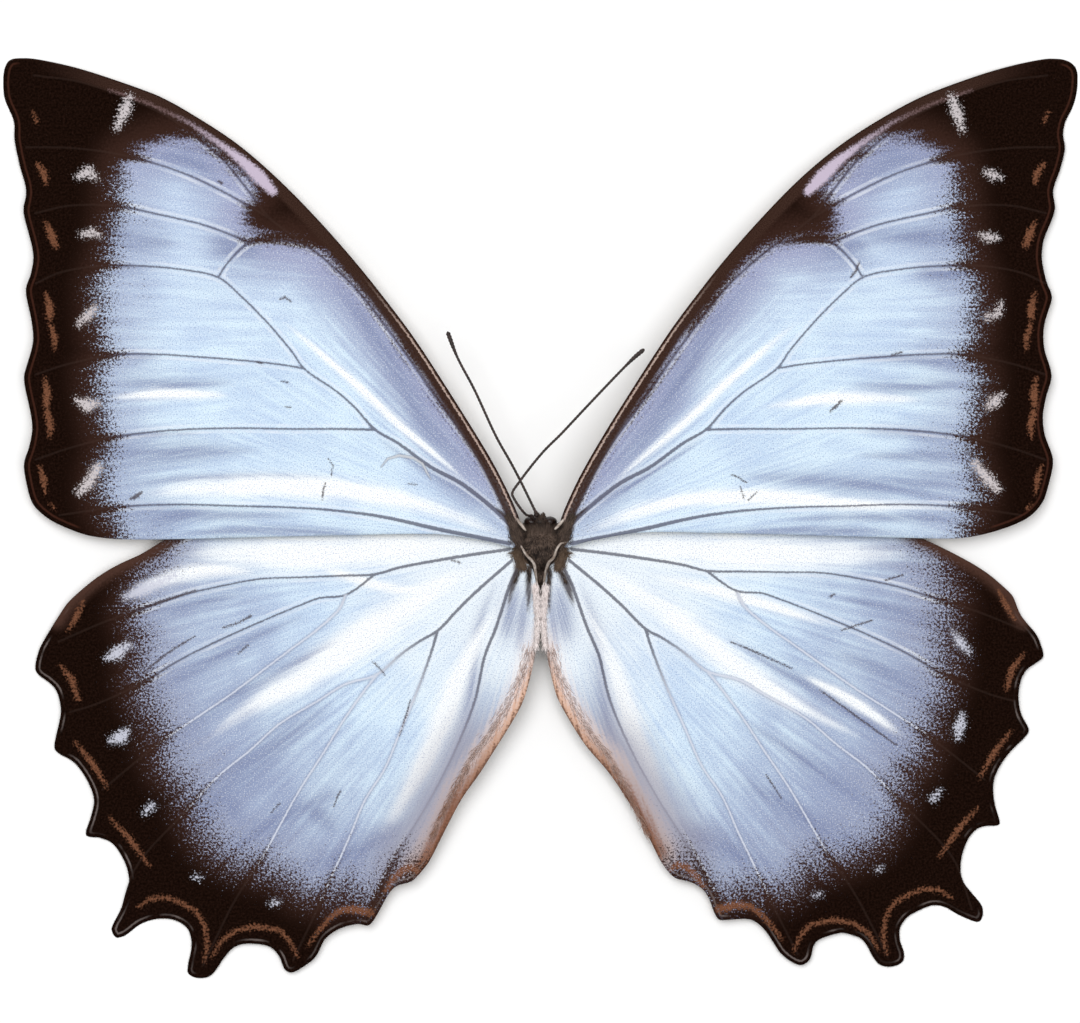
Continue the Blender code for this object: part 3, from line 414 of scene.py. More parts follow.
# Hair on the wings, as (path of (x, y), width, count, length, lift, slot, tone). The tufts differ
# from wing to wing.
ROOT_HAIR = {
    "fore": [
        ([(-2.6, 0.2), (-3.0, 1.2), (-3.2, 2.2), (-3.7, 3.2)], 0.8, 260, 1.0, 0.25, DARK_HAIR, 0.35),
    ],
    "hind": [
        ([(-2.0, 0.1), (-2.6, -0.9), (-2.5, -1.9), (-2.0, -2.8)], 0.9, 340, 0.7, 0.25, OLIVE_HAIR, 0.4),
        ([(-2.2, -0.8), (-3.6, -1.1)], 0.6, 24, 0.7, 0.2, OLIVE_HAIR, 0.4),
        ([(-2.0, -1.9), (-2.9, -2.7)], 0.6, 24, 0.7, 0.2, OLIVE_HAIR, 0.4),
        ([(-1.4, -12.0), (-2.0, -15.0), (-4.4, -20.0), (-9.0, -27.0), (-13.0, -35.0)],
         0.7, 230, 1.3, 0.1, PALE_HAIR, 0.55),
        ([(-0.6, -4.8), (-0.42, -7.0), (-0.34, -9.6), (-0.55, -12.2)], 0.36, 260, 1.5, 0.1, PALE_HAIR, 1.1),
    ],
}
ROOT_TUFTS = {
    ("fore", 1): [], ("fore", -1): [],
    ("hind", 1): [
        ([(-2.2, -2.2), (-2.7, -3.3), (-3.1, -4.4)], 0.3, 26, 0.8, 0.1, DARK_HAIR, 0.2),
        ([(-1.3, -2.4), (-1.4, -4.4)], 0.3, 26, 0.8, 0.1, DARK_HAIR, 0.2),
    ],
    ("hind", -1): [
        ([(-2.0, -2.3), (-2.6, -3.4), (-3.0, -4.4)], 0.3, 28, 0.8, 0.1, DARK_HAIR, 0.2),
        ([(-1.05, -2.6), (-1.05, -4.6)], 0.3, 26, 0.8, 0.1, DARK_HAIR, 0.2),
    ],
}

# Body. Each antenna and leg is a path of (x, y, height).
HAIR_SHARE = 4
COAT_COUNT = 2750 * HAIR_SHARE
COAT_DEPTH = 0.35
COAT_LENGTH = 1.7
COLLAR_COUNT = 1500 * HAIR_SHARE
COLLAR_DEPTHS = (0.35, 1.5)
COLLAR_RADII = (2.25, 1.55)
COLLAR_HEIGHT = 3.9
PAD_CENTRE = (2.35, 1.45, 5.5)
PAD_RADII = (0.78, 1.1, 0.62)
PAD_COUNT = 450 * HAIR_SHARE
PAD_HAIR = 0.9
HIGHEST_HAIR = 6.9
HEAD_CENTRE, HEAD_RADII = (0.0, 2.75, 3.9), (1.12, 0.66, 1.1)
EYE_CENTRE, EYE_RADII = (1.15, 2.8, 4.0), (0.84, 0.67, 1.03)
PALP_CENTRE, PALP_RADII = (0.3, 3.1, 3.6), (0.26, 0.68, 0.44)
SOCKET_RADII = (0.3, 0.3, 0.24)
TONGUE_TURNS = 2.5
TONGUE_STEPS = 90
ANTENNA_LEFT = [(-1, 3.5, 5.4), (-1.7, 3.65, 6.2), (-2.5, 4.55, 6.7), (-3.15, 5.55, 6.8),
                (-3.4, 6.2, 6.8), (-2.4, 7.8, 6.6), (0.3, 11.2, 6.4), (2.5, 13.4, 6.3), (5.5, 16.6, 6.3),
                (11.1, 22.4, 6.5), (12.5, 23.6, 6.5)]
ANTENNA_RIGHT = [(-0.5, 3.8, 5.2), (-2.4, 7.7, 5.5), (-3.5, 9.8, 5.7), (-5.3, 13, 6.0),
                 (-8, 18.8, 6.3), (-10, 22.6, 6.5), (-11.2, 25.7, 6.6)]
STALK_RADIUS = 0.155
CLUB_RADIUS = 0.26
CLUB_LENGTH = 3.5
RING_STEP = 0.42
LEG_MIDDLE = [(2.75, 0.5, 1), (3.9, 1.9, 1.7), (4.35, 2, 1.7), (3.9, 0.2, 1.3), (3.4, -1.8, 0.8),
              (3, -3.6, 0.5), (2.8, -4.6, 0.45)]
LEG_HIND = [(2.15, -2.6, 1.5), (3.2, -0.9, 2.9), (3.5, -1.2, 2.8), (3.1, -2.9, 2.2), (2.6, -5, 1.3),
            (2.1, -7.2, 0.8), (1.9, -8.2, 0.65)]
LEG_RADII = (0.24, 0.2, 0.2, 0.16, 0.13, 0.1, 0.08)
FOOT_START = (0.62, 0.68)
SPINES = 46
# Pale ridges of the wing hinges, which lie on the thorax no lower than the heights given
RIDGES = [
    [(-2.5, 0.15, 6.2), (-1.7, -1.15, 6.4), (-0.85, -2.1, 5.6), (-0.58, -3.7, 4.2),
     (-0.38, -5.5, 3.8), (-0.3, -7.4, 3.4)],
    [(3.3, 0.4, 6.3), (2.5, 0.2, 6.4), (2.0, -0.35, 6.4), (1.58, -1.45, 6.2), (1.0, -2.1, 5.6),
     (0.6, -3.5, 4.3), (0.42, -5.3, 3.8), (0.34, -7.7, 3.4)],
    [(-2.85, 3.2, 6.4), (-2.35, 2.5, 6.6), (-1.75, 1.75, 6.7)],
    [(2.8, 3.1, 6.4), (2.3, 2.5, 6.6), (1.7, 1.9, 6.6)],
]
RIDGE_RADIUS = 0.19
HIGHEST_RIDGE = 6.85

# Half widths of hairs, and depths of the finest relief in metres
COAT_HAIR = 0.035
COLLAR_HAIR = 0.034
FINE_HAIR = 0.032
HEAD_HAIR = 0.028
SPINE_WIDTH = 0.02
SCALE_RELIEF = 0.00004
SHELL_RELIEF = 0.00003

# Stage: the lamps are (place, size, power), and the view is the photograph's
FLOOR_HALF = 1500.0
WORLD_STRENGTH = 0.32
LAMPS = [((-260.0, 380.0, 1150.0), 800.0, 8.7), ((320.0, -160.0, 1150.0), 800.0, 5.1)]
LENS = 300.0
SENSOR = 36.0
VIEW_WIDTH = 130.6
VIEW_CENTRE = (-0.06, 4.05, 0.6)

# Eyespots of the underside as (x, y, radius), their rings as (share of the radius, colour), and
# the lines along the margin as (distance from it, half width, colour)
EYESPOTS = {
    "fore": [(-49.5, 36.5, 2.3), (-50.5, 26.5, 2.6), (-50.0, 17.5, 2.2)],
    "hind": [(-47.5, -12.0, 2.8), (-40.5, -26.0, 2.4), (-33.5, -34.5, 2.8), (-22.5, -36.5, 2.3)],
}
EYE_RINGS = [(1.25, (190, 172, 144)), (1.0, (56, 40, 30)), (0.8, (196, 150, 74)),
             (0.58, (30, 22, 22)), (0.2, (232, 230, 226))]
MARGIN_LINES = [(1.2, 0.25, (190, 160, 120)), (2.3, 0.2, (196, 178, 150)), (3.1, 0.25, (52, 38, 32))]


def srgb(red, green, blue):
    """A colour given as it looks on a screen, from 0 to 255, in the renderer's own values."""
    shares = [value / 255.0 for value in (red, green, blue)]
    return tuple(s / 12.92 if s < 0.04045 else ((s + 0.055) / 1.055) ** 2.4 for s in shares) + (1.0,)


def span_points(before, start, end, after, pieces):
    """Samples of a centripetal Catmull-Rom curve from start up to just before end."""
    knots = [0.0]
    for a, b in ((before, start), (start, end), (end, after)):
        knots.append(knots[-1] + max(np.linalg.norm(b - a), 1e-6) ** 0.5)
    t = (knots[1] + (knots[2] - knots[1]) * np.arange(pieces) / pieces)[:, None]

    def between(p, q, low, high):
        return ((high - t) * p + (t - low) * q) / (high - low)

    first = between(before, start, knots[0], knots[1])
    second = between(start, end, knots[1], knots[2])
    third = between(end, after, knots[2], knots[3])
    return between(between(first, second, knots[0], knots[2]),
                   between(second, third, knots[1], knots[3]), knots[1], knots[2])


def smooth_path(points, step, closed=False):
    """A smooth curve through the points, with about one sample every step."""
    points = np.array(points, dtype=float)
    count = len(points)
    runs = []
    for index in range(count if closed else count - 1):
        start, end = points[index], points[(index + 1) % count]
        before = points[index - 1] if closed or index else 2 * start - end
        last = not closed and index + 2 >= count
        after = 2 * end - start if last else points[(index + 2) % count]
        pieces = max(1, round(np.linalg.norm(end - start) / step))
        runs.append(span_points(before, start, end, after, pieces))
    if not closed:
        runs.append(points[-1:])
    return np.vstack(runs)


def run_along(line):
    """How far along a path each of its points lies."""
    return np.concatenate([[0.0], np.cumsum(np.linalg.norm(np.diff(line, axis=0), axis=1))])


def unit(vectors):
    """The directions of the vectors."""
    return vectors / np.maximum(np.linalg.norm(vectors, axis=1), 1e-9)[:, None]


def strokes_at(points, strokes, soft=False):
    """How far each point lies inside strokes of varying half width, or their soft glow."""
    best = np.full(len(points), 0.0 if soft else FAR_OUTSIDE)
    for stroke in strokes:
        stroke = np.array(stroke, dtype=float)
        if soft:
            stroke = smooth_path(stroke, GLOW_STEP)
        passed = run_along(stroke[:, :2])
        passed /= max(passed[-1], 1e-9)
        for index, (start, end) in enumerate(zip(stroke[:-1], stroke[1:])):
            along = end[:2] - start[:2]
            share = np.clip((points - start[:2]) @ along / max(along @ along, 1e-9), 0.0, 1.0)
            gap = np.linalg.norm(points - start[:2] - share[:, None] * along, axis=1)
            width = start[2] + (end[2] - start[2]) * share
            if soft:
                through = passed[index] + (passed[index + 1] - passed[index]) * share
                fade = np.sqrt(np.sin(math.pi * np.clip(through, *GLOW_ENDS)))
                reach = gap / np.maximum(width, NARROWEST_GLOW)
                skirt = (1.0 - GLOW_CORE) * np.exp(-(reach / GLOW_SKIRT) ** 2)
                value = fade * (GLOW_CORE * np.exp(-reach ** 2) + skirt)
            else:
                value = width - gap
            best = np.maximum(best, value)
    return best


def distance_to(points, path):
    """The distance of each point from an open run of segments."""
    return -strokes_at(points, [np.column_stack([path, np.zeros(len(path))])])


def inside(points, outline):
    """Which points lie inside a closed outline."""
    result = np.zeros(len(points), dtype=bool)
    for start, end in zip(outline, np.roll(outline, -1, axis=0)):
        if start[1] != end[1]:
            crosses = (start[1] > points[:, 1]) != (end[1] > points[:, 1])
            share = (points[:, 1] - start[1]) / (end[1] - start[1])
            result ^= crosses & (points[:, 0] < start[0] + share * (end[0] - start[0]))
    return result


def signed_distance(points, outline):
    """The distance to a closed outline, above zero inside it."""
    outline = np.array(outline, dtype=float)
    gap = distance_to(points, np.vstack([outline, outline[:1]]))
    return np.where(inside(points, outline), gap, -gap)


def smooth_step(value, low, high):
    """A smooth rise from none to one while the value goes from low to high."""
    share = np.clip((value - low) / (high - low), 0.0, 1.0)
    return share * share * (3.0 - 2.0 * share)


def turned(paths, angle):
    """Paths or strokes of the left hindwing, turned about the wing's root."""
    spin = np.array([[math.cos(angle), math.sin(angle)], [-math.sin(angle), math.cos(angle)]])
    result = []
    for path in paths:
        path = np.array(path, dtype=float)
        path[:, :2] = (path[:, :2] - HINDWING_ROOT) @ spin + HINDWING_ROOT
        result.append(path)
    return result


def rim(node, side):
    """The outline of a wing, read from the upper side of its solid, as drawn for the left."""
    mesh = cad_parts[node].data
    places = np.round(np.array([vertex.co[:2] for vertex in mesh.vertices]) / MM, 3)
    places[:, 0] *= side
    corners, index = np.unique(places, axis=0, return_inverse=True)
    index = index.ravel()
    edges = set()
    for face in mesh.polygons:
        if face.normal.z > 0.5:
            ring = [int(index[vertex]) for vertex in face.vertices]
            edges.update(zip(ring, ring[1:] + ring[:1]))
    follow = {a: b for a, b in edges if (b, a) not in edges}
    loop = [min(follow)]
    while follow[loop[-1]] != loop[0]:
        loop.append(follow[loop[-1]])
    return corners[loop][::side]


def unbroken(outline, chosen):
    """The chosen part of a closed outline, in one run."""
    starts = [index for index in range(len(outline)) if chosen[index] and not chosen[index - 1]]
    runs = []
    for start in starts:
        run = []
        while chosen[(start + len(run)) % len(outline)]:
            run.append((start + len(run)) % len(outline))
        runs.append(run)
    return outline[max(runs, key=len)]


class Wing:
    """One wing: its outline, veins and markings, drawn for the left side."""

    def __init__(self, node, kind, side):
        self.kind, self.side = kind, side
        self.outline = smooth_path(rim(node, side), RIM_STEP, closed=True)
        self.veins = FOREWING_VEINS if kind == "fore" else HINDWING_VEINS
        self.angle = RIGHT_HINDWING_TURN if (kind, side) == ("hind", -1) else 0.0
        self.veins = [smooth_path(vein, VEIN_STEP) for vein in self.placed(self.veins)]

    def placed(self, paths):
        return turned(paths, self.angle) if self.angle else [np.array(path) for path in paths]

    def field(self):
        points = self.placed([FORE_FIELD if self.kind == "fore" else HIND_FIELD])[0]
        if self.side < 0:
            wider = smooth_step(points[:, 0], -45.0, -50.0) * smooth_step(points[:, 1], 4.0, 8.0)
            points[:, 0] += RIGHT_BORDER * wider
        return smooth_path(points, 1.0, closed=True)

    def marks(self, name):
        """Markings of one sort: those read on the right wing itself need no turn."""
        own = RIGHT_MARKS[self.kind].get(name) if self.side < 0 else None
        return own if own is not None else self.placed(MARKS[self.kind][name])

    def curl(self):
        """The curled scratch, which only the left forewing has."""
        return FORE_CURL if (self.kind, self.side) == ("fore", 1) else []

    def ghost(self, flat, away):
        """One where the nearest vein is a pale one, as in the outer half of a hindwing."""
        if self.kind == "fore":
            return np.zeros(len(flat))
        gaps = np.array([distance_to(flat, vein) for vein in self.veins])
        pale = np.isin(np.argmin(gaps, axis=0), PALE_VEINS)
        return pale * smooth_step(away, 17.0, 27.0)

    def to_veins(self, flat):
        return np.min([distance_to(flat, vein) for vein in self.veins], axis=0)

    def underside(self, flat, to_veins=None):
        """Height of the underside: an even droop, a sag between veins, and the folds."""
        to_veins = self.to_veins(flat) if to_veins is None else to_veins
        away = np.linalg.norm(flat, axis=1)
        share = (away - ROOT_RADIUS) / (REACH[self.kind] - ROOT_RADIUS)
        sag = SAG_DEPTH * (1.0 - np.exp(-(to_veins / SAG_WIDTH) ** 2))
        folds = strokes_at(flat, self.marks("fold_highlight"), soft=True)
        folds -= strokes_at(flat, self.marks("fold_shade"), soft=True)
        height = ROOT_HEIGHT[self.kind] * (1.0 - share) - sag + 0.5 * FOLD_HEIGHT * (folds - 1.0)
        return np.maximum(height, 0.0)

    def edges(self):
        """Paths along the front edge, the outer margin and, on a hindwing, the inner edge.

        A line from the root to the tip parts the first two on a forewing.
        """
        x, y = self.outline.T
        if self.kind == "fore":
            ahead = y > TIP_SLOPE * x
            chosen = {"front": ahead & (x < -1.0), "outer": ~ahead & (y > 2.0) & (x < -40.0)}
        else:
            chosen = {"front": (y > -9.0) & (x < -44.0), "outer": (x < -14.4) & (y < -8.5),
                      "inner": (x > -14.0) & (y < -8.0)}
        return {name: unbroken(self.outline, which) for name, which in chosen.items()}


def nearest(points, targets):
    """The distance of each point from the nearest of many closely spaced targets."""
    gaps = [np.min((block[:, None, 0] - targets[None, :, 0]) ** 2
                   + (block[:, None, 1] - targets[None, :, 1]) ** 2, axis=1)
            for block in np.array_split(points, max(1, len(points) // 4000))]
    return np.sqrt(np.concatenate(gaps))


def sideways(line):
    """The direction across a path at each of its points."""
    heading = unit(np.gradient(line, axis=0))
    return np.column_stack([-heading[:, 1], heading[:, 0]])


def wing_points(wing):
    """Flat points over a wing and the edges that its triangles have to follow."""
    random = np.random.default_rng(7)
    points = [wing.outline]
    count = len(wing.outline)
    edges = [(index, (index + 1) % count) for index in range(count)]
    for vein in wing.veins:
        across = sideways(vein)
        for row in VEIN_ROWS:
            line = vein + row * across
            if row:
                line = line[(inside(line, wing.outline)) & (nearest(line, wing.outline) > CLEAR_OF_RIM)]
                line = line[wing.to_veins(line) > abs(row) - ROW_SLACK]
            else:
                edges += [(index, index + 1) for index in range(count, count + len(line) - 1)]
            points.append(line)
            count += len(line)
    for stroke in list(wing.marks("nicks")) + wing.curl():
        line = smooth_path(np.array(stroke)[:, :2], NICK_STEP)
        across = sideways(line)
        points += [line + row * across for row in NICK_ROWS]
    low, high = wing.outline.min(axis=0), wing.outline.max(axis=0)
    rows = np.arange(low[1], high[1], FINE_STEP * math.sqrt(3.0) / 2.0)
    grid = np.array([(x + 0.5 * FINE_STEP * (row % 2), y) for row, y in enumerate(rows)
                     for x in np.arange(low[0], high[0], FINE_STEP)])
    grid += random.uniform(-JITTER, JITTER, grid.shape) * FINE_STEP
    grid = grid[inside(grid, wing.outline)]
    grid = grid[nearest(grid, wing.outline) > 0.6 * RIM_STEP]
    grid = grid[nearest(grid, np.vstack(wing.veins)) > VEIN_ROWS[-1] + 0.35 * FINE_STEP]
    points.append(grid)
    return np.vstack(points), edges


def feed(socket, value):
    """Link a term to a socket, or set a plain value on it."""
    if isinstance(value, Term):
        socket.id_data.links.new(value.socket, socket)
    else:
        socket.default_value = value


def calculated(operation, term, other=0.0):
    """A Math node; either side may be a number."""
    known = term if isinstance(term, Term) else other
    node = known.socket.id_data.nodes.new("ShaderNodeMath")
    node.operation = operation
    feed(node.inputs[0], term)
    feed(node.inputs[1], other)
    return Term(node.outputs[0])


class Term:
    """What a node puts out, for use in formulas."""

    def __init__(self, socket):
        self.socket = socket

    def __add__(self, other):
        return calculated("ADD", self, other)

    def __sub__(self, other):
        return calculated("SUBTRACT", self, other)

    def __rsub__(self, other):
        return calculated("SUBTRACT", other, self)

    def __mul__(self, other):
        return calculated("MULTIPLY", self, other)

    def step(self, low, high, start=0.0, end=1.0):
        """A smooth rise from start to end while the term goes from low to high."""
        node = self.socket.id_data.nodes.new("ShaderNodeMapRange")
        node.interpolation_type = "SMOOTHSTEP"
        feed(node.inputs["Value"], self)
        for name, value in (("From Min", low), ("From Max", high), ("To Min", start), ("To Max", end)):
            node.inputs[name].default_value = value
        return Term(node.outputs[0])

    def band(self, middle, half, blur):
        """One where the term is within half of the middle, falling to none over the blur."""
        return calculated("ABSOLUTE", self - middle).step(half, half + blur, 1.0, 0.0)


class Look:
    """A material whose colour is painted in layers. Colours are given as they look on a screen."""

    def __init__(self, name):
        self.material = bpy.data.materials.new(name)
        self.material.use_nodes = True
        self.nodes = self.material.node_tree.nodes
        self.colour = None

    def attribute(self, name, output="Fac"):
        node = self.nodes.new("ShaderNodeAttribute")
        node.attribute_name = name
        return Term(node.outputs[output])

    def place(self):
        return Term(self.nodes.new("ShaderNodeTexCoord").outputs["Object"])

    def noise(self, place, scale, detail=2.0):
        node = self.nodes.new("ShaderNodeTexNoise")
        feed(node.inputs["Vector"], place)
        node.inputs["Scale"].default_value = scale
        node.inputs["Detail"].default_value = detail
        return Term(node.outputs[0])

    def sway(self, place, scale, detail=2.0):
        """Noise around zero, of about one each way."""
        return (self.noise(place, scale, detail) - 0.5) * 4.0

    def mix(self, share, first, second):
        node = self.nodes.new("ShaderNodeMix")
        node.data_type = "RGBA"
        feed(node.inputs[0], share)
        for socket, value in ((node.inputs[6], first), (node.inputs[7], second)):
            feed(socket, value if isinstance(value, Term) else srgb(*value))
        return Term(node.outputs[2])

    def paint(self, share, colour):
        """One more layer over the colour so far."""
        self.colour = self.mix(share, self.colour, colour)

    def finish(self, roughness, specular, relief=None, strength=0.0, depth=0.0):
        inputs = self.nodes["Principled BSDF"].inputs
        feed(inputs["Base Color"], self.colour)
        feed(inputs["Roughness"], roughness)
        feed(inputs["Specular IOR Level"], specular)
        if relief is not None:
            bump = self.nodes.new("ShaderNodeBump")
            bump.inputs["Strength"].default_value = strength
            bump.inputs["Distance"].default_value = depth
            feed(bump.inputs["Height"], relief)
            feed(inputs["Normal"], Term(bump.outputs[0]))
        return self.material


def wing_top(kind):
    """Blue scales with a near-black border, pale spots, orange marks and darker veins."""
    look = Look("wing scales of a " + kind + "wing")
    fore = kind == "fore"
    flat, ray = (look.attribute(name, "Vector") for name in ("flat", "ray"))
    dark, edge, vein, away, front = (look.attribute(name)
                                     for name in ("dark", "edge", "vein", "root", "front"))
    grain = look.sway(flat, 3.6, 4.0)
    dust = look.sway(flat, 8.0)
    powder = look.sway(flat, 6.5, 3.0)
    streak = look.sway(ray, 1.0, 4.0)
    if fore:
        outer = (away + streak * 3.0).step(34.0, 46.0)
        fan = look.sway(look.attribute("fan", "Vector"), 1.0, 4.0)
        streak = streak * (1.0 - outer) + fan * outer
    cloud = look.sway(flat, 0.16, 3.0)

    # The blue field: soft clouds, fine streaks along the veins, and a duller outer part
    mood = cloud * 0.7 + streak * (1.0 if fore else 0.75)
    look.colour = look.mix(mood.step(-1.0, 1.0), (216, 237, 251), (190, 212, 238))
    if fore:
        look.paint((look.attribute("ahead") + mood * 3.0).step(18.0, 42.0, 0.0, 0.75), (186, 203, 229))
        look.paint((dark + mood * 1.6).step(-9.0, -0.5, 0.0, 0.8), (160, 172, 200))
        purple = (dark + mood * 0.8).step(-6.5, -0.3) * look.attribute("cell")
        look.paint(purple * 0.9, (150, 153, 187))
    else:
        look.paint((away + mood * 5.0).step(10.0, 30.0, 0.75, 0.0), (242, 248, 251))
        look.paint((away + mood * 5.0).step(26.0, 50.0, 0.0, 0.95), (144, 156, 188))
        look.paint((dark + mood * 1.8).step(-8.0, 0.0, 0.0, 0.8), (142, 147, 172))

    # Painted shade in the fold valleys and painted highlights along the fold ridges, and the grain of the
    # scales
    fold_shade = look.attribute("fold_shade") * streak.step(-1.2, 0.8, 0.55, 1.1)
    look.paint(fold_shade * 0.85, (118, 129, 166))
    fold_highlight = look.attribute("fold_highlight") * mood.step(-1.2, 1.0, 1.15, 0.7)
    look.paint(fold_highlight.step(0.05, 0.8), (250, 253, 254))
    look.paint(powder.step(0.0, 0.8, 0.0, 0.7), (134, 150, 188))
    look.paint(powder.step(-0.9, 0.0, 0.5, 0.0), (248, 252, 254))

    # Veins with pale sides; some of a hindwing are pale themselves, with dull sides
    width = vein + grain * 0.06 + dust * 0.04 + away.step(8.0, 34.0, -0.09 if fore else -0.04, 0.05)
    ghost = look.attribute("ghost")
    halo = vein.band(0.4, 0.08, 0.2) * streak.step(-0.9, 0.9, 0.0, 0.5) * (1.0 - ghost)
    look.paint(halo, (246, 250, 254))
    if fore:
        look.paint(width.step(0.08, 0.24, 0.85, 0.0), (84, 84, 102))
    else:
        look.paint(width.step(0.16, 0.42, 0.45, 0.0) * ghost, (122, 130, 158))
        look.paint(width.step(0.08, 0.22, 0.85, 0.0), look.mix(ghost, (84, 84, 98), (214, 219, 232)))
        inner_edge(look, away, look.attribute("inner") + grain * 0.35 + streak * 0.5)

    # The border, with a wide uneven edge of loose dark scales that follow the veins
    reach = vein.step(0.15, 0.9, 1.3, 0.0) * dark.step(-9.0, -0.5)
    loose = grain * 1.5 + dust * 1.2
    if fore:
        reach = reach * front.step(3.0, 7.0)
        loose = loose * (1.0 - look.attribute("cell") * 0.6)
    zone = calculated("MAXIMUM", (dark + reach) * (0.6 if fore else 0.42), dark * 0.1 - 1.3)
    ragged = zone + loose + mood * 0.4 + 0.2
    border = look.mix(grain.step(-0.7, 0.9), (15, 5, 2), (32, 17, 11))
    border = look.mix((dark + grain * 1.4).step(0.5, 5.0, 0.75, 0.0), border, (62, 40, 33))
    border = look.mix(dust.step(0.5, 1.3, 0.0, 0.35), border, (92, 72, 66))
    covered = ragged.step(-0.6, 0.6)
    look.paint(covered, border)
    look.paint(vein.step(0.05, 0.2, 0.16, 0.0) * covered, (74, 58, 52))
    if fore:
        front_edge(look, front, grain, dust)
    else:
        pale = (edge + grain * 0.05).band(0.5, 0.04, 0.12) * look.attribute("outer")
        look.paint(pale * look.sway(ray, 0.35).step(-0.3, 0.5) * 0.5, (136, 124, 120))
        look.paint((front + grain * 0.3 + dust * 0.2).step(0.1, 1.9, 0.85, 0.0), (80, 55, 46))

    # Orange marks, cream spots, dark stains and nicks, and the curled scratch
    orange = look.attribute("orange") + grain * 0.4 + dust * 0.2 - 0.12
    rust = look.mix(dust.step(-0.6, 0.8), (144, 96, 70), (84, 50, 36))
    look.paint(orange.step(-0.2, 0.25, 0.0, 0.85), rust)
    spot = look.attribute("spot") + grain * 0.75 + dust * 0.45
    look.paint(spot.step(-0.05, 0.65, 0.0, 0.88), (212, 204, 206) if fore else (206, 208, 222))
    stain = look.attribute("stain") * streak.step(-1.2, 0.8, 0.7, 1.15)
    look.paint(stain.step(0.1, 0.85, 0.0, 0.9), (54, 42, 46))
    nick = look.attribute("nick") + dust * 0.16 + grain * 0.12 - 0.04
    look.paint(nick.step(-0.14, 0.06, 0.0, 0.85), (62, 48, 52))
    if fore:
        curl = look.attribute("curl") + dust * 0.04
        look.paint(curl.step(-0.16, 0.0, 0.0, 0.5), (112, 116, 132))
        look.paint(curl.step(-0.02, 0.08, 0.0, 0.8), (206, 208, 212))
    return look.finish(ragged.step(-0.5, 0.5, 0.55, 0.85), ragged.step(-0.3, 0.3, 0.2, 0.02),
                       streak * 0.5 + dust, 0.2, SCALE_RELIEF)


def inner_edge(look, away, inner):
    """The inner edge of a hindwing: white near the body, then tan, with a brown rim."""
    low = away.step(8.0, 18.0)
    lower = away.step(14.0, 27.0)
    down = away.step(18.0, 34.0)
    look.paint(inner.step(2.0, 9.0, 0.9, 0.0) * lower, (150, 148, 164))
    look.paint(inner.step(0.8, 3.4, 0.7, 0.0) * low, (240, 228, 226))
    tan = look.mix(down, (218, 192, 180), (150, 124, 118))
    look.paint(inner.step(0.8, 3.2, 0.9, 0.0) * lower, tan)
    rim_tint = look.mix(down, (218, 174, 148), (132, 86, 62))
    look.paint(inner.step(0.3, 1.6, 0.95, 0.0) * low, rim_tint)
    look.paint(inner.step(0.05, 0.4, 0.75, 0.0), (96, 62, 46))


def front_edge(look, front, grain, dust):
    """The front edge of a forewing: dark rim, thin pale line, brown band and pinkish streak."""
    rough_front = front + grain * 0.12
    brown = look.mix(dust.step(-0.8, 0.8), (46, 28, 22), (68, 48, 40))
    look.paint(rough_front.step(1.15, 1.8, 0.95, 0.0) * look.attribute("brownness"), brown)
    pale = rough_front.band(0.42, 0.04, 0.12) * look.attribute("paleness")
    look.paint(pale * 0.8, (200, 176, 164))
    look.paint(front.step(0.08, 0.26, 0.8, 0.0), (44, 28, 22))
    pink = look.attribute("pink") + grain * 0.25 + dust * 0.15
    look.paint(pink.step(-0.2, 0.35, 0.0, 0.85),
               look.mix(look.attribute("rosy"), (122, 98, 98), (210, 196, 216)))
    line = look.attribute("edge").band(0.62, 0.05, 0.14) * look.attribute("outer")
    look.paint(line * 0.22, (112, 66, 52))


def wing_underside(kind):
    """The brown underside: paler waves, lines along the margin and a row of eyespots."""
    look = Look("underside of a " + kind + "wing")
    flat = look.attribute("flat", "Vector")
    grain = look.sway(flat, 4.2, 3.0)
    cloud = look.sway(flat, 0.3, 3.0)
    look.colour = look.mix((cloud + grain * 0.4).step(-0.8, 0.8), (112, 88, 68), (88, 66, 52))
    wave = calculated("SINE", look.attribute("root") * 0.42 + cloud * 2.4)
    look.paint(wave.step(0.72, 0.95, 0.0, 0.75), (184, 165, 138))
    edge = look.attribute("edge") + grain * 0.15
    for middle, half, tint in MARGIN_LINES:
        look.paint(edge.band(middle, half, 0.3) * 0.85, tint)
    eye = look.attribute("eye")
    for radius, tint in EYE_RINGS:
        look.paint(eye.step(radius - 0.04, radius + 0.04, 1.0, 0.0), tint)
    look.paint(look.attribute("vein").step(0.08, 0.24, 0.6, 0.0), (70, 52, 42))
    return look.finish(0.75, 0.2, grain, 0.3, SCALE_RELIEF)


def hair_look(name, dark, light):
    """Hair that runs from dark to light by the tone of each hair."""
    look = Look(name)
    tone = look.attribute("tone") + look.sway(look.place(), 900.0) * 0.12
    look.colour = look.mix(tone, dark, light)
    return look.finish(0.62, 0.35)


def shell_look(name, dark, light, scale=1800.0, roughness=0.45):
    """A dull shell, mottled and finely pitted."""
    look = Look(name)
    grain = look.sway(look.place(), scale, 3.0)
    look.colour = look.mix(grain.step(-0.8, 0.8), dark, light)
    return look.finish(grain.step(-1.0, 1.0, roughness, roughness + 0.2), 0.4, grain, 0.35, SHELL_RELIEF)


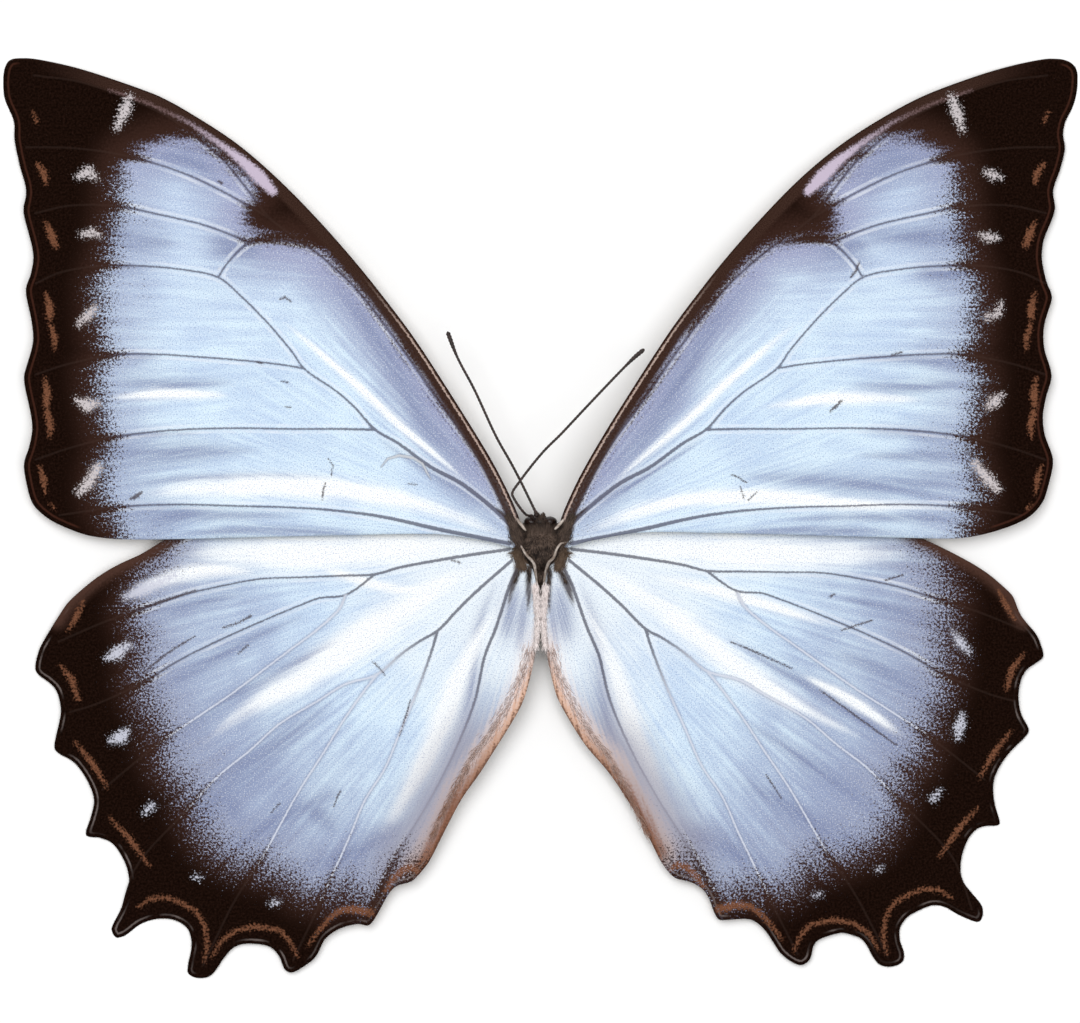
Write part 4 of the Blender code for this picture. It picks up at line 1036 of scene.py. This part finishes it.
class Soup:
    """Vertices and faces that are gathered in millimetres and made into one mesh."""

    def __init__(self):
        self.points, self.faces, self.slots, self.tones, self.count = [], [], [], [], 0

    def add(self, points, faces, slot=0, tone=0.5):
        points = np.asarray(points, dtype=float)
        self.points.append(points)
        self.faces += [[int(corner) + self.count for corner in face] for face in faces]
        self.slots += [slot] * len(faces)
        self.tones.append(np.broadcast_to(tone, len(points)))
        self.count += len(points)

    def hairs(self, roots, middles, tips, width, slot=0, tones=0.5):
        """Tapered three-sided hairs, each bent once at its middle."""
        roots, middles, tips = (np.asarray(group, dtype=float) for group in (roots, middles, tips))
        count = len(roots)
        run = unit(tips - roots)
        helper = np.where(np.abs(run[:, 2:3]) > 0.9, [[1.0, 0.0, 0.0]], [[0.0, 0.0, 1.0]])
        side = unit(np.cross(run, helper))
        lift = np.cross(run, side)
        corners = []
        for centre, share in ((roots, 1.0), (middles, 0.72)):
            for turn in (0.0, 2.0 * math.pi / 3.0, 4.0 * math.pi / 3.0):
                corners.append(centre + share * width * (math.cos(turn) * side + math.sin(turn) * lift))
        corners.append(tips)
        points = np.stack(corners, axis=1).reshape(-1, 3)
        pattern = [(0, 1, 4, 3), (1, 2, 5, 4), (2, 0, 3, 5), (3, 4, 6), (4, 5, 6), (5, 3, 6)]
        faces = [[len(corners) * hair + corner for corner in face]
                 for hair in range(count) for face in pattern]
        self.add(points, faces, slot, np.repeat(np.broadcast_to(tones, count), len(corners)))

    def closed(self, rings, sides, ends, slot):
        """A closed skin over rings of points, from one end point to the other."""
        last = len(rings) - 1
        quads = [(sides * ring + k, sides * ring + (k + 1) % sides,
                  sides * (ring + 1) + (k + 1) % sides, sides * (ring + 1) + k)
                 for ring in range(last) for k in range(sides)]
        start = sides * (last + 1)
        caps = [(start, (k + 1) % sides, k) for k in range(sides)]
        caps += [(start + 1, sides * last + k, sides * last + (k + 1) % sides) for k in range(sides)]
        self.add(np.vstack([*rings, ends]), quads + caps, slot)

    def tube(self, path, radii, sides, slot=0):
        """A tube along a path with closed ends."""
        heading = unit(np.gradient(path, axis=0))
        side = unit(np.cross(heading, [0.0, 0.0, 1.0]))
        lift = np.cross(heading, side)
        turns = 2.0 * math.pi * np.arange(sides) / sides
        rings = [path[i] + radii[i] * (np.outer(np.cos(turns), side[i]) + np.outer(np.sin(turns), lift[i]))
                 for i in range(len(path))]
        self.closed(rings, sides, [path[0], path[-1]], slot)

    def ball(self, centre, radii, rings=18, sides=28, slot=0):
        """An ellipsoid."""
        turns = -2.0 * math.pi * np.arange(sides) / sides
        levels = [np.column_stack([math.sin(a) * np.cos(turns), math.sin(a) * np.sin(turns),
                                   np.full(sides, math.cos(a))])
                  for a in math.pi * np.arange(1, rings) / rings]
        placed = [centre + level * radii for level in levels]
        poles = [centre + np.array((0.0, 0.0, pole)) * radii for pole in (1.0, -1.0)]
        self.closed(placed, sides, poles, slot)

    def piece(self, node, looks, attributes=None):
        """The gathered mesh as one smooth piece that rides on the body in place of a node."""
        mesh = bpy.data.meshes.new("fine_" + node)
        points = np.clip(np.vstack(self.points) * MM, *np.array(CAD_BOX))
        mesh.from_pydata(points, [], self.faces)
        mesh.polygons.foreach_set("material_index", self.slots)
        mesh.polygons.foreach_set("use_smooth", [True] * len(self.faces))
        for look in looks:
            mesh.materials.append(look)
        values = {"tone": np.concatenate(self.tones), **(attributes or {})}
        for key, value in values.items():
            filled = np.zeros((self.count,) + value.shape[1:], dtype=np.float32)
            filled[:len(value)] = value
            sort, field = ("FLOAT", "value") if value.ndim == 1 else ("FLOAT_VECTOR", "vector")
            mesh.attributes.new(key, sort, "POINT").data.foreach_set(field, filled.ravel())
        mesh.update()
        made = bpy.data.objects.new("fine_" + node, mesh)
        bpy.context.scene.collection.objects.link(made)
        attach(made, BODY)
        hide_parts(node)


def lifted(flat, side, height):
    """Flat points of a wing, put on their own side and at a height."""
    return np.column_stack([side * flat[:, 0], flat[:, 1], height])


def streak_place(flat, centre, spread, seed):
    """Places for noise that is drawn out along the lines that leave a centre."""
    away = flat - centre
    angle = np.arctan2(away[:, 1], -away[:, 0])
    return np.column_stack([0.1 * np.linalg.norm(away, axis=1), spread * angle,
                            np.full(len(flat), seed)])


def wing_marks(wing, flat, to_veins, to_edge):
    """What the wing materials read at each flat point."""
    x, y = flat.T
    away = np.linalg.norm(flat, axis=1)
    borders = wing.edges()
    front = nearest(flat, borders["front"])
    eyes = wing.placed([EYESPOTS[wing.kind]])[0]
    found = {
        "flat": np.column_stack([flat, np.full(len(flat), 40.0 * wing.side)]),
        "ray": streak_place(flat, np.zeros(2), 55.0, 9.0 * wing.side),
        "dark": -signed_distance(flat, wing.field()),
        "edge": to_edge,
        "vein": to_veins,
        "root": away,
        "front": front,
        "outer": smooth_step(nearest(flat, borders["outer"]), 2.0, 1.0),
        "ghost": wing.ghost(flat, away),
        "eye": np.min([np.linalg.norm(flat - eye[:2], axis=1) / eye[2] for eye in eyes], axis=0),
        "stain": strokes_at(flat, STAINS[(wing.kind, wing.side)], soft=True),
        # Painted shade of the fold valleys and painted highlights of the fold ridges
        "fold_shade": strokes_at(flat, wing.marks("fold_shade"), soft=True),
        "fold_highlight": strokes_at(flat, wing.marks("fold_highlight"), soft=True),
        "spot": strokes_at(flat, wing.marks("spots")),
        "orange": strokes_at(flat, wing.marks("orange")),
        "nick": strokes_at(flat, wing.marks("nicks")),
    }
    if wing.kind == "hind":
        return {**found, "inner": nearest(flat, borders["inner"])}
    return {
        **found,
        "fan": streak_place(flat, FAR_POINT, 110.0, 5.0 * wing.side),
        "ahead": y,
        "pink": strokes_at(flat, wing.marks("pink")),
        "rosy": smooth_step(x, -46.0, -36.0),
        "curl": strokes_at(flat, wing.curl()),
        "cell": smooth_step(front, 14.0, 6.0) * smooth_step(y, 2.0, 9.0),
        "paleness": smooth_step(x, -22.0, -14.0),
        "brownness": smooth_step(x, -62.0, -50.0),
    }


def add_wing(node, kind, side, looks):
    """One wing: a thin sheet with raised veins and folds, a fringe and the hair of its base."""
    wing = Wing(node, kind, side)
    flat, edges = wing_points(wing)
    cut = delaunay_2d_cdt([Vector(point) for point in flat], edges, [], 1, 1e-4)
    flat = np.array([tuple(point) for point in cut[0]])
    faces = np.array([face for face in cut[2] if len(face) == 3])
    to_veins = wing.to_veins(flat)
    to_edge = nearest(flat, wing.outline)
    under = wing.underside(flat, to_veins)
    body = MARGIN_THICKNESS + (MEMBRANE - MARGIN_THICKNESS) * np.clip(to_edge / MARGIN_WIDTH, 0, 1)
    ridge = VEIN_RIDGE * np.exp(-(to_veins / VEIN_WIDTH) ** 2) * np.clip(to_edge / 0.6, 0.2, 1.0)
    count = len(flat)
    sheet = np.vstack([lifted(flat, side, under + body + ridge), lifted(flat, side, under)])
    order = faces if side > 0 else faces[:, ::-1]
    boundary = set()
    for a, b, c in order.tolist():
        boundary.update([(a, b), (b, c), (c, a)])
    walls = [(b, a, a + count, b + count) for a, b in boundary if (b, a) not in boundary]
    soup = Soup()
    soup.add(sheet, order.tolist(), TOP)
    soup.faces += (order[:, ::-1] + count).tolist() + walls
    soup.slots += [UNDERSIDE] * len(order) + [TOP] * len(walls)
    add_fringe(soup, wing)
    add_root_hair(soup, wing)
    marks = wing_marks(wing, flat, to_veins, to_edge)
    soup.piece(node, looks,
               {key: np.concatenate([value, value]) for key, value in marks.items()})


def add_fringe(soup, wing):
    """Short dark hairs that stand on the outer margin, in the plane of the wing."""
    random = np.random.default_rng(11)
    margin = smooth_path(wing.edges()["outer"][::3], FRINGE_STEP)
    inward = sideways(margin)
    inward *= np.where(inside(margin + 0.2 * inward, wing.outline), 1.0, -1.0)[:, None]
    margin = margin[nearest(margin, wing.outline) < 0.4]
    inward = inward[:len(margin)]
    roots = margin + 0.35 * inward
    tips = margin - random.uniform(0.0, 0.12, (len(margin), 1)) * inward
    tips += random.uniform(-0.1, 0.1, margin.shape)
    height = wing.underside(margin) + 0.5 * MARGIN_THICKNESS
    rows = [lifted(row, wing.side, height) for row in (roots, margin, tips)]
    soup.hairs(*rows, COAT_HAIR, FRINGE, random.uniform(0.0, 0.8, len(margin)))


def add_root_hair(soup, wing):
    """Hair on the base of a wing, and on a hindwing along its inner edge."""
    random = np.random.default_rng(23)
    streams = ROOT_HAIR[wing.kind] + ROOT_TUFTS[(wing.kind, wing.side)]
    for path, width, count, length, lift, slot, tone in streams:
        line = smooth_path(path, 0.3)
        line = line[np.linalg.norm(line, axis=1) > 0.5]
        picks = random.integers(0, len(line) - 1, count * HAIR_SHARE)
        heading = unit(np.gradient(line, axis=0)[picks])
        spread = width * (1.0 - 0.6 * picks / len(line))[:, None]
        roots = line[picks] + random.normal(0.0, 0.5, heading.shape) * spread
        ways = heading + random.normal(0.0, 0.22, heading.shape)
        tips = roots + ways * length * random.uniform(0.5, 1.0, (len(roots), 1))
        start = wing.underside(roots) + MEMBRANE
        end = wing.underside(tips) + MEMBRANE + lift * random.uniform(0.2, 1.0, len(roots))
        rows = [lifted(roots, wing.side, start - 0.05),
                lifted(0.5 * (roots + tips), wing.side, 0.5 * (start + end) + 0.4 * lift),
                lifted(tips, wing.side, end)]
        tones = np.clip(tone + random.uniform(-0.3, 0.3, len(roots)), 0.0, 1.0)
        if slot == PALE_HAIR:
            tones *= 1.0 - 0.75 * smooth_step(-roots[:, 1], 17.0, 31.0)
        soup.hairs(*rows, FINE_HAIR, slot, tones)


class Skin:
    """The surface of a solid of the frame, in millimetres, for hair to follow."""

    def __init__(self, node):
        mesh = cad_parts[node].data
        self.points = np.array([vertex.co[:] for vertex in mesh.vertices]) / MM
        self.faces = [tuple(face.vertices) for face in mesh.polygons]
        self.tree = BVHTree.FromPolygons(self.points.tolist(), self.faces)
        self.corners = np.array([(face[0], face[index], face[index + 1]) for face in self.faces
                                 for index in range(1, len(face) - 1)])

    def nearest(self, place):
        return np.array(self.tree.find_nearest(Vector(place))[0])

    def height(self, x, y):
        """The height of the surface over a flat place, or zero beside it."""
        hit = self.tree.ray_cast(Vector((x, y, 50.0)), Vector((0.0, 0.0, -1.0)))[0]
        return hit.z if hit else 0.0

    def crosses(self):
        """The normals of the triangles, each as long as twice the triangle's area."""
        a, b, c = (self.points[self.corners[:, corner]] for corner in range(3))
        return np.cross(b - a, c - a)

    def samples(self, count, random):
        """Evenly strewn places on the surface, with the normals there."""
        cross = self.crosses()
        area = np.linalg.norm(cross, axis=1)
        chosen = random.choice(len(cross), count, p=area / area.sum())
        a, b = random.uniform(size=(2, count, 1))
        flip = a + b > 1.0
        a, b = np.where(flip, 1.0 - a, a), np.where(flip, 1.0 - b, b)
        first, second, third = (self.points[self.corners[chosen, corner]] for corner in range(3))
        return first + a * (second - first) + b * (third - first), unit(cross)[chosen]

    def coat(self, soup, count, heading, tone):
        """A coat of hair rooted below the surface, with its tips back on the surface."""
        random = np.random.default_rng(3)
        places, normals = self.samples(count, random)
        ways = heading(places) + random.normal(0.0, 0.28, places.shape)
        ways = unit(ways - (ways * normals).sum(axis=1)[:, None] * normals)
        lengths = random.uniform(0.55, 1.0, (count, 1)) * COAT_LENGTH
        roots = places - COAT_DEPTH * normals
        middles = places + 0.4 * lengths * ways - 0.1 * COAT_DEPTH * normals
        tips = np.array([self.nearest(tip) for tip in places + lengths * ways])
        tips += random.uniform(-0.15, 0.1, (count, 1)) * normals
        tones = np.clip(random.uniform(0.0, 1.0, count) ** 1.5 + tone(places), 0.0, 1.0)
        for group in (roots, middles, tips):
            group[:, 2] = np.maximum(group[:, 2], 0.03)
        soup.hairs(roots, middles, tips, COAT_HAIR, HAIR, tones)

    def core(self, soup, depth):
        """The same form, a little thinner."""
        merged = {}
        keys = [tuple(point) for point in np.round(self.points, 4).tolist()]
        for corners, cross in zip(self.corners, self.crosses()):
            for corner in corners:
                merged[keys[corner]] = merged.get(keys[corner], 0.0) + cross
        points = self.points - depth * unit(np.array([merged[key] for key in keys]))
        points[:, 2] = np.maximum(points[:, 2], 0.0)
        soup.add(points, self.faces, SHELL)


def add_thorax(looks):
    """The hairy middle of the body, with pale ridges where the wings are hinged."""
    skin = Skin("thorax")
    soup = Soup()
    skin.core(soup, 0.3)

    def heading(places):
        spread = np.sign(places[:, 0]) * smooth_step(np.abs(places[:, 0]), 0.2, 2.4)
        back = np.where(places[:, 1] > 1.0, -0.5, -1.0)
        return np.column_stack([0.9 * spread, back, np.zeros(len(places))])

    def lighter(places):
        x, y, z = places.T
        patches = np.sin(4.1 * x + 1.3) * np.sin(3.3 * y + 2.2 * x)
        return (0.4 * smooth_step(y, -0.4, 2.2) + 0.3 * patches - 0.1) * (z > 3.0)

    skin.coat(soup, COAT_COUNT, heading, lighter)
    collar_hair(soup)
    for side in (-1.0, 1.0):
        pad_of_hair(soup, side)
    for ridge in RIDGES:
        line = smooth_path(ridge, 0.12)
        heights = np.array([skin.height(x, y) for x, y, _ in line])
        line[:, 2] = np.clip(line[:, 2], heights + 0.1, HIGHEST_RIDGE)
        swell = np.sin(math.pi * np.linspace(0.0, 1.0, len(line))) ** 0.5
        soup.tube(line, RIDGE_RADIUS * (0.4 + 0.6 * swell), 8, RIDGE)
    soup.piece("thorax", looks)


def pad_of_hair(soup, side):
    """The small rounded pad over the hinge of a forewing, with hair that lies outwards."""
    random = np.random.default_rng(31)
    centre = np.array(PAD_CENTRE) * (side, 1.0, 1.0)
    soup.ball(centre, 0.85 * np.array(PAD_RADII), 14, 20, SHELL)
    out = unit(random.normal(size=(PAD_COUNT, 3)))
    ways = np.array((side * 0.5, -0.2, 0.0)) + 0.35 * out + random.normal(0.0, 0.2, out.shape)
    roots = centre + 0.8 * out * PAD_RADII
    tips = centre + out * PAD_RADII + ways * PAD_HAIR * random.uniform(0.4, 1.0, (len(out), 1))
    tips[:, 2] = np.minimum(tips[:, 2], HIGHEST_HAIR)
    middles = 0.5 * (roots + tips) + 0.1 * out
    tones = np.clip(0.2 + random.uniform(-0.2, 0.3, len(out)), 0.0, 1.0)
    soup.hairs(roots, middles, tips, FINE_HAIR, HAIR, tones)


def collar_hair(soup):
    """Longer hair of the front of the thorax, that reaches forward over the neck."""
    random = np.random.default_rng(37)
    count = COLLAR_COUNT
    turns = random.uniform(-0.15 * math.pi, 1.15 * math.pi, count)
    depth = random.uniform(*COLLAR_DEPTHS, count)
    reach = np.interp(depth, COLLAR_DEPTHS, COLLAR_RADII) * random.uniform(0.86, 1.0, count)
    across, up = np.cos(turns), np.sin(turns)
    roots = np.column_stack([reach * across, depth, COLLAR_HEIGHT + 0.95 * reach * up])
    tips = roots + np.column_stack([0.35 * across, random.uniform(0.7, 1.6, count), np.full(count, -0.15)])
    tips += random.normal(0.0, 0.14, tips.shape)
    middles = 0.5 * (roots + tips) + 0.14 * np.column_stack([across, np.zeros(count), up])
    tones = np.clip(random.uniform(0.0, 0.7, count) + 0.15 * (np.abs(across) < 0.7), 0.0, 1.0)
    soup.hairs(roots, middles, tips, COLLAR_HAIR, HAIR, tones)


def add_head(looks):
    """The head: hairy capsule, faceted eyes, palps, sockets and the coiled tongue below."""
    random = np.random.default_rng(5)
    soup = Soup()
    sides = np.array([(-1.0, 1.0, 1.0), (1.0, 1.0, 1.0)])
    soup.ball(HEAD_CENTRE, np.array(HEAD_RADII), slot=SHELL)
    for side in sides:
        soup.ball(side * EYE_CENTRE, np.array(EYE_RADII), 30, 44, EYE)
        soup.ball(side * PALP_CENTRE, np.array(PALP_RADII), slot=SHELL)
    for place in (ANTENNA_LEFT[0], ANTENNA_RIGHT[0]):
        soup.ball(np.array(place) - (0.0, 0.12, 0.12), np.array(SOCKET_RADII), slot=SHELL)
    turns = np.linspace(0.0, TONGUE_TURNS * 2.0 * math.pi, TONGUE_STEPS)
    reach = 0.1 + 0.42 * turns / turns[-1]
    coil = np.column_stack([np.zeros(TONGUE_STEPS), 3.0 + reach * np.cos(turns),
                            2.75 + reach * np.sin(turns)])
    soup.tube(coil, np.linspace(0.035, 0.07, TONGUE_STEPS), 8, SHELL)

    def tuft(centre, radii, count, length):
        out = unit(random.normal(size=(count, 3)))
        places = np.array(centre) + out * radii
        from_eyes = (np.column_stack([np.abs(places[:, 0]), places[:, 1:]]) - EYE_CENTRE) / EYE_RADII
        free = np.linalg.norm(from_eyes, axis=1) > 1.03
        places, out = places[free], out[free]
        ways = unit(out * 0.5 + random.normal(0.0, 0.3, places.shape) + (0.0, 0.35, 0.1))
        lengths = random.uniform(0.5, 1.0, (len(places), 1)) * length
        middles = places + 0.5 * lengths * ways
        tips = places + lengths * (ways + (0.0, 0.12, 0.0))
        soup.hairs(places - 0.1 * out, middles, tips, HEAD_HAIR, HAIR,
                   random.uniform(0.0, 0.7, len(places)))

    tuft(HEAD_CENTRE, HEAD_RADII, 500 * HAIR_SHARE, 0.32)
    for side in sides:
        tuft(side * PALP_CENTRE, PALP_RADII, 130 * HAIR_SHARE, 0.28)
    soup.piece("head", looks)


def add_antenna(node, path, look):
    """A ringed antenna with its long slender club."""
    line = smooth_path(path, 0.07)
    run = run_along(line)
    left = run[-1] - run
    club = smooth_step(left, CLUB_LENGTH, 0.9)
    rings = 1.0 - 0.1 * np.cos(2.0 * math.pi * run / RING_STEP)
    radii = (STALK_RADIUS + (CLUB_RADIUS - STALK_RADIUS) * club) * rings
    radii *= np.sqrt(np.clip(left / 0.25, 0.05, 1.0))
    radii *= 1.0 + 0.5 * np.exp(-(run / 0.4) ** 2)
    soup = Soup()
    soup.tube(line, radii, 12)
    soup.piece(node, [look])


def add_leg(node, path, side, looks):
    """A folded leg with swollen thigh, spines along the shin and a pair of claws."""
    random = np.random.default_rng(len(node))
    path = np.array(path) * (side, 1.0, 1.0)
    line = np.vstack([np.linspace(start, end, 14, endpoint=False)
                      for start, end in zip(path[:-1], path[1:])] + [path[-1:]])
    for _ in range(2):
        line[1:-1] = 0.25 * line[:-2] + 0.5 * line[1:-1] + 0.25 * line[2:]
    joints, run = run_along(path), run_along(line)
    share = run / run[-1]
    radii = np.interp(share, joints / joints[-1], LEG_RADII)
    foot = smooth_step(share, *FOOT_START)
    radii *= 1.0 - 0.14 * foot * (1.0 - np.cos(2.0 * math.pi * run / 0.6))
    soup = Soup()
    soup.tube(line, radii, 12)
    spots = random.integers(20, len(line) - 4, SPINES)
    turns = random.uniform(0.0, 2.0 * math.pi, SPINES)
    ahead = unit(line[spots + 1] - line[spots])
    out = np.column_stack([np.cos(turns), np.zeros(SPINES), np.sin(turns)])
    roots = line[spots] + 0.8 * radii[spots][:, None] * out
    tips = roots + 0.14 * out + 0.2 * ahead
    tips[:, 2] = np.maximum(tips[:, 2], 0.05)
    soup.hairs(roots, 0.5 * (roots + tips), tips, SPINE_WIDTH, SPINE)
    for spread in (-0.09, 0.09):
        middle = line[-2] + (spread, -0.1, 0.02)
        soup.hairs([line[-2]], [middle], [middle + (0.6 * spread, -0.08, -0.08)], COAT_HAIR, SPINE)
    soup.piece(node, looks)


def build():
    dark_hair = hair_look("body hair", (24, 14, 11), (140, 118, 104))
    olive_hair = hair_look("olive hair of the wing roots", (62, 44, 34), (156, 132, 110))
    pale_hair = hair_look("pale hair of the inner edges", (150, 104, 78), (254, 244, 242))
    fringe = hair_look("fringe of the wings", (24, 14, 11), (92, 76, 72))
    core = shell_look("skin under the hair", (22, 13, 10), (48, 33, 27))
    ridge = shell_look("pale wing hinges", (132, 116, 104), (206, 194, 184))
    eye = shell_look("eye facets", (16, 9, 8), (46, 28, 22), 6000.0, 0.22)
    antenna = shell_look("antenna shell", (24, 15, 13), (62, 46, 42), 3000.0)
    leg = shell_look("leg shell", (52, 36, 28), (104, 80, 62), 2500.0)
    spine = shell_look("leg spines", (30, 20, 16), (60, 44, 36), 4000.0)
    for kind in ("fore", "hind"):
        looks = [wing_top(kind), wing_underside(kind), fringe, dark_hair, olive_hair, pale_hair]
        for name, side in (("left", 1), ("right", -1)):
            add_wing(kind + "wing_" + name, kind, side, looks)
    add_thorax([dark_hair, core, ridge])
    add_head([dark_hair, core, eye])
    add_antenna("antenna_left", ANTENNA_LEFT, antenna)
    add_antenna("antenna_right", ANTENNA_RIGHT, antenna)
    for name, side in (("left", -1.0), ("right", 1.0)):
        add_leg("leg_middle_" + name, LEG_MIDDLE, side, [leg, spine])
        add_leg("leg_hind_" + name, LEG_HIND, side, [leg, spine])


def add_floor():
    """The plain pale surface that the specimen lies on."""
    mesh = bpy.data.meshes.new("floor")
    half = FLOOR_HALF * MM
    mesh.from_pydata([(-half, -half, 0.0), (half, -half, 0.0), (half, half, 0.0), (-half, half, 0.0)],
                     [], [(0, 1, 2, 3)])
    look = Look("floor")
    look.colour = look.mix(look.noise(look.place(), 40.0), (250, 250, 250), (253, 253, 253))
    mesh.materials.append(look.finish(0.9, 0.0))
    floor = bpy.data.objects.new("floor", mesh)
    bpy.context.scene.collection.objects.link(floor)


def add_light(place, size, power):
    """A soft square lamp that looks at the specimen; place and size are in millimetres."""
    data = bpy.data.lights.new("softbox", "AREA")
    data.size = size * MM
    data.energy = power
    lamp = bpy.data.objects.new("softbox", data)
    lamp.location = Vector(place) * MM
    lamp.rotation_euler = (-lamp.location).to_track_quat("-Z", "Y").to_euler()
    bpy.context.scene.collection.objects.link(lamp)


def light_and_camera():
    scene = bpy.context.scene
    scene.view_settings.view_transform = "Standard"
    world = bpy.data.worlds.new("studio")
    world.use_nodes = True
    background = world.node_tree.nodes["Background"]
    background.inputs["Color"].default_value = (1.0, 1.0, 1.0, 1.0)
    background.inputs["Strength"].default_value = WORLD_STRENGTH
    scene.world = world
    for place, size, power in LAMPS:
        add_light(place, size, power)
    data = bpy.data.cameras.new("camera")
    data.lens = LENS
    data.sensor_width = SENSOR
    data.clip_start = 0.01
    data.clip_end = 10.0
    camera = bpy.data.objects.new("camera", data)
    distance = VIEW_WIDTH * LENS / SENSOR
    camera.location = Vector((VIEW_CENTRE[0], VIEW_CENTRE[1], VIEW_CENTRE[2] + distance)) * MM
    scene.collection.objects.link(camera)
    scene.camera = camera


build()
add_floor()
light_and_camera()
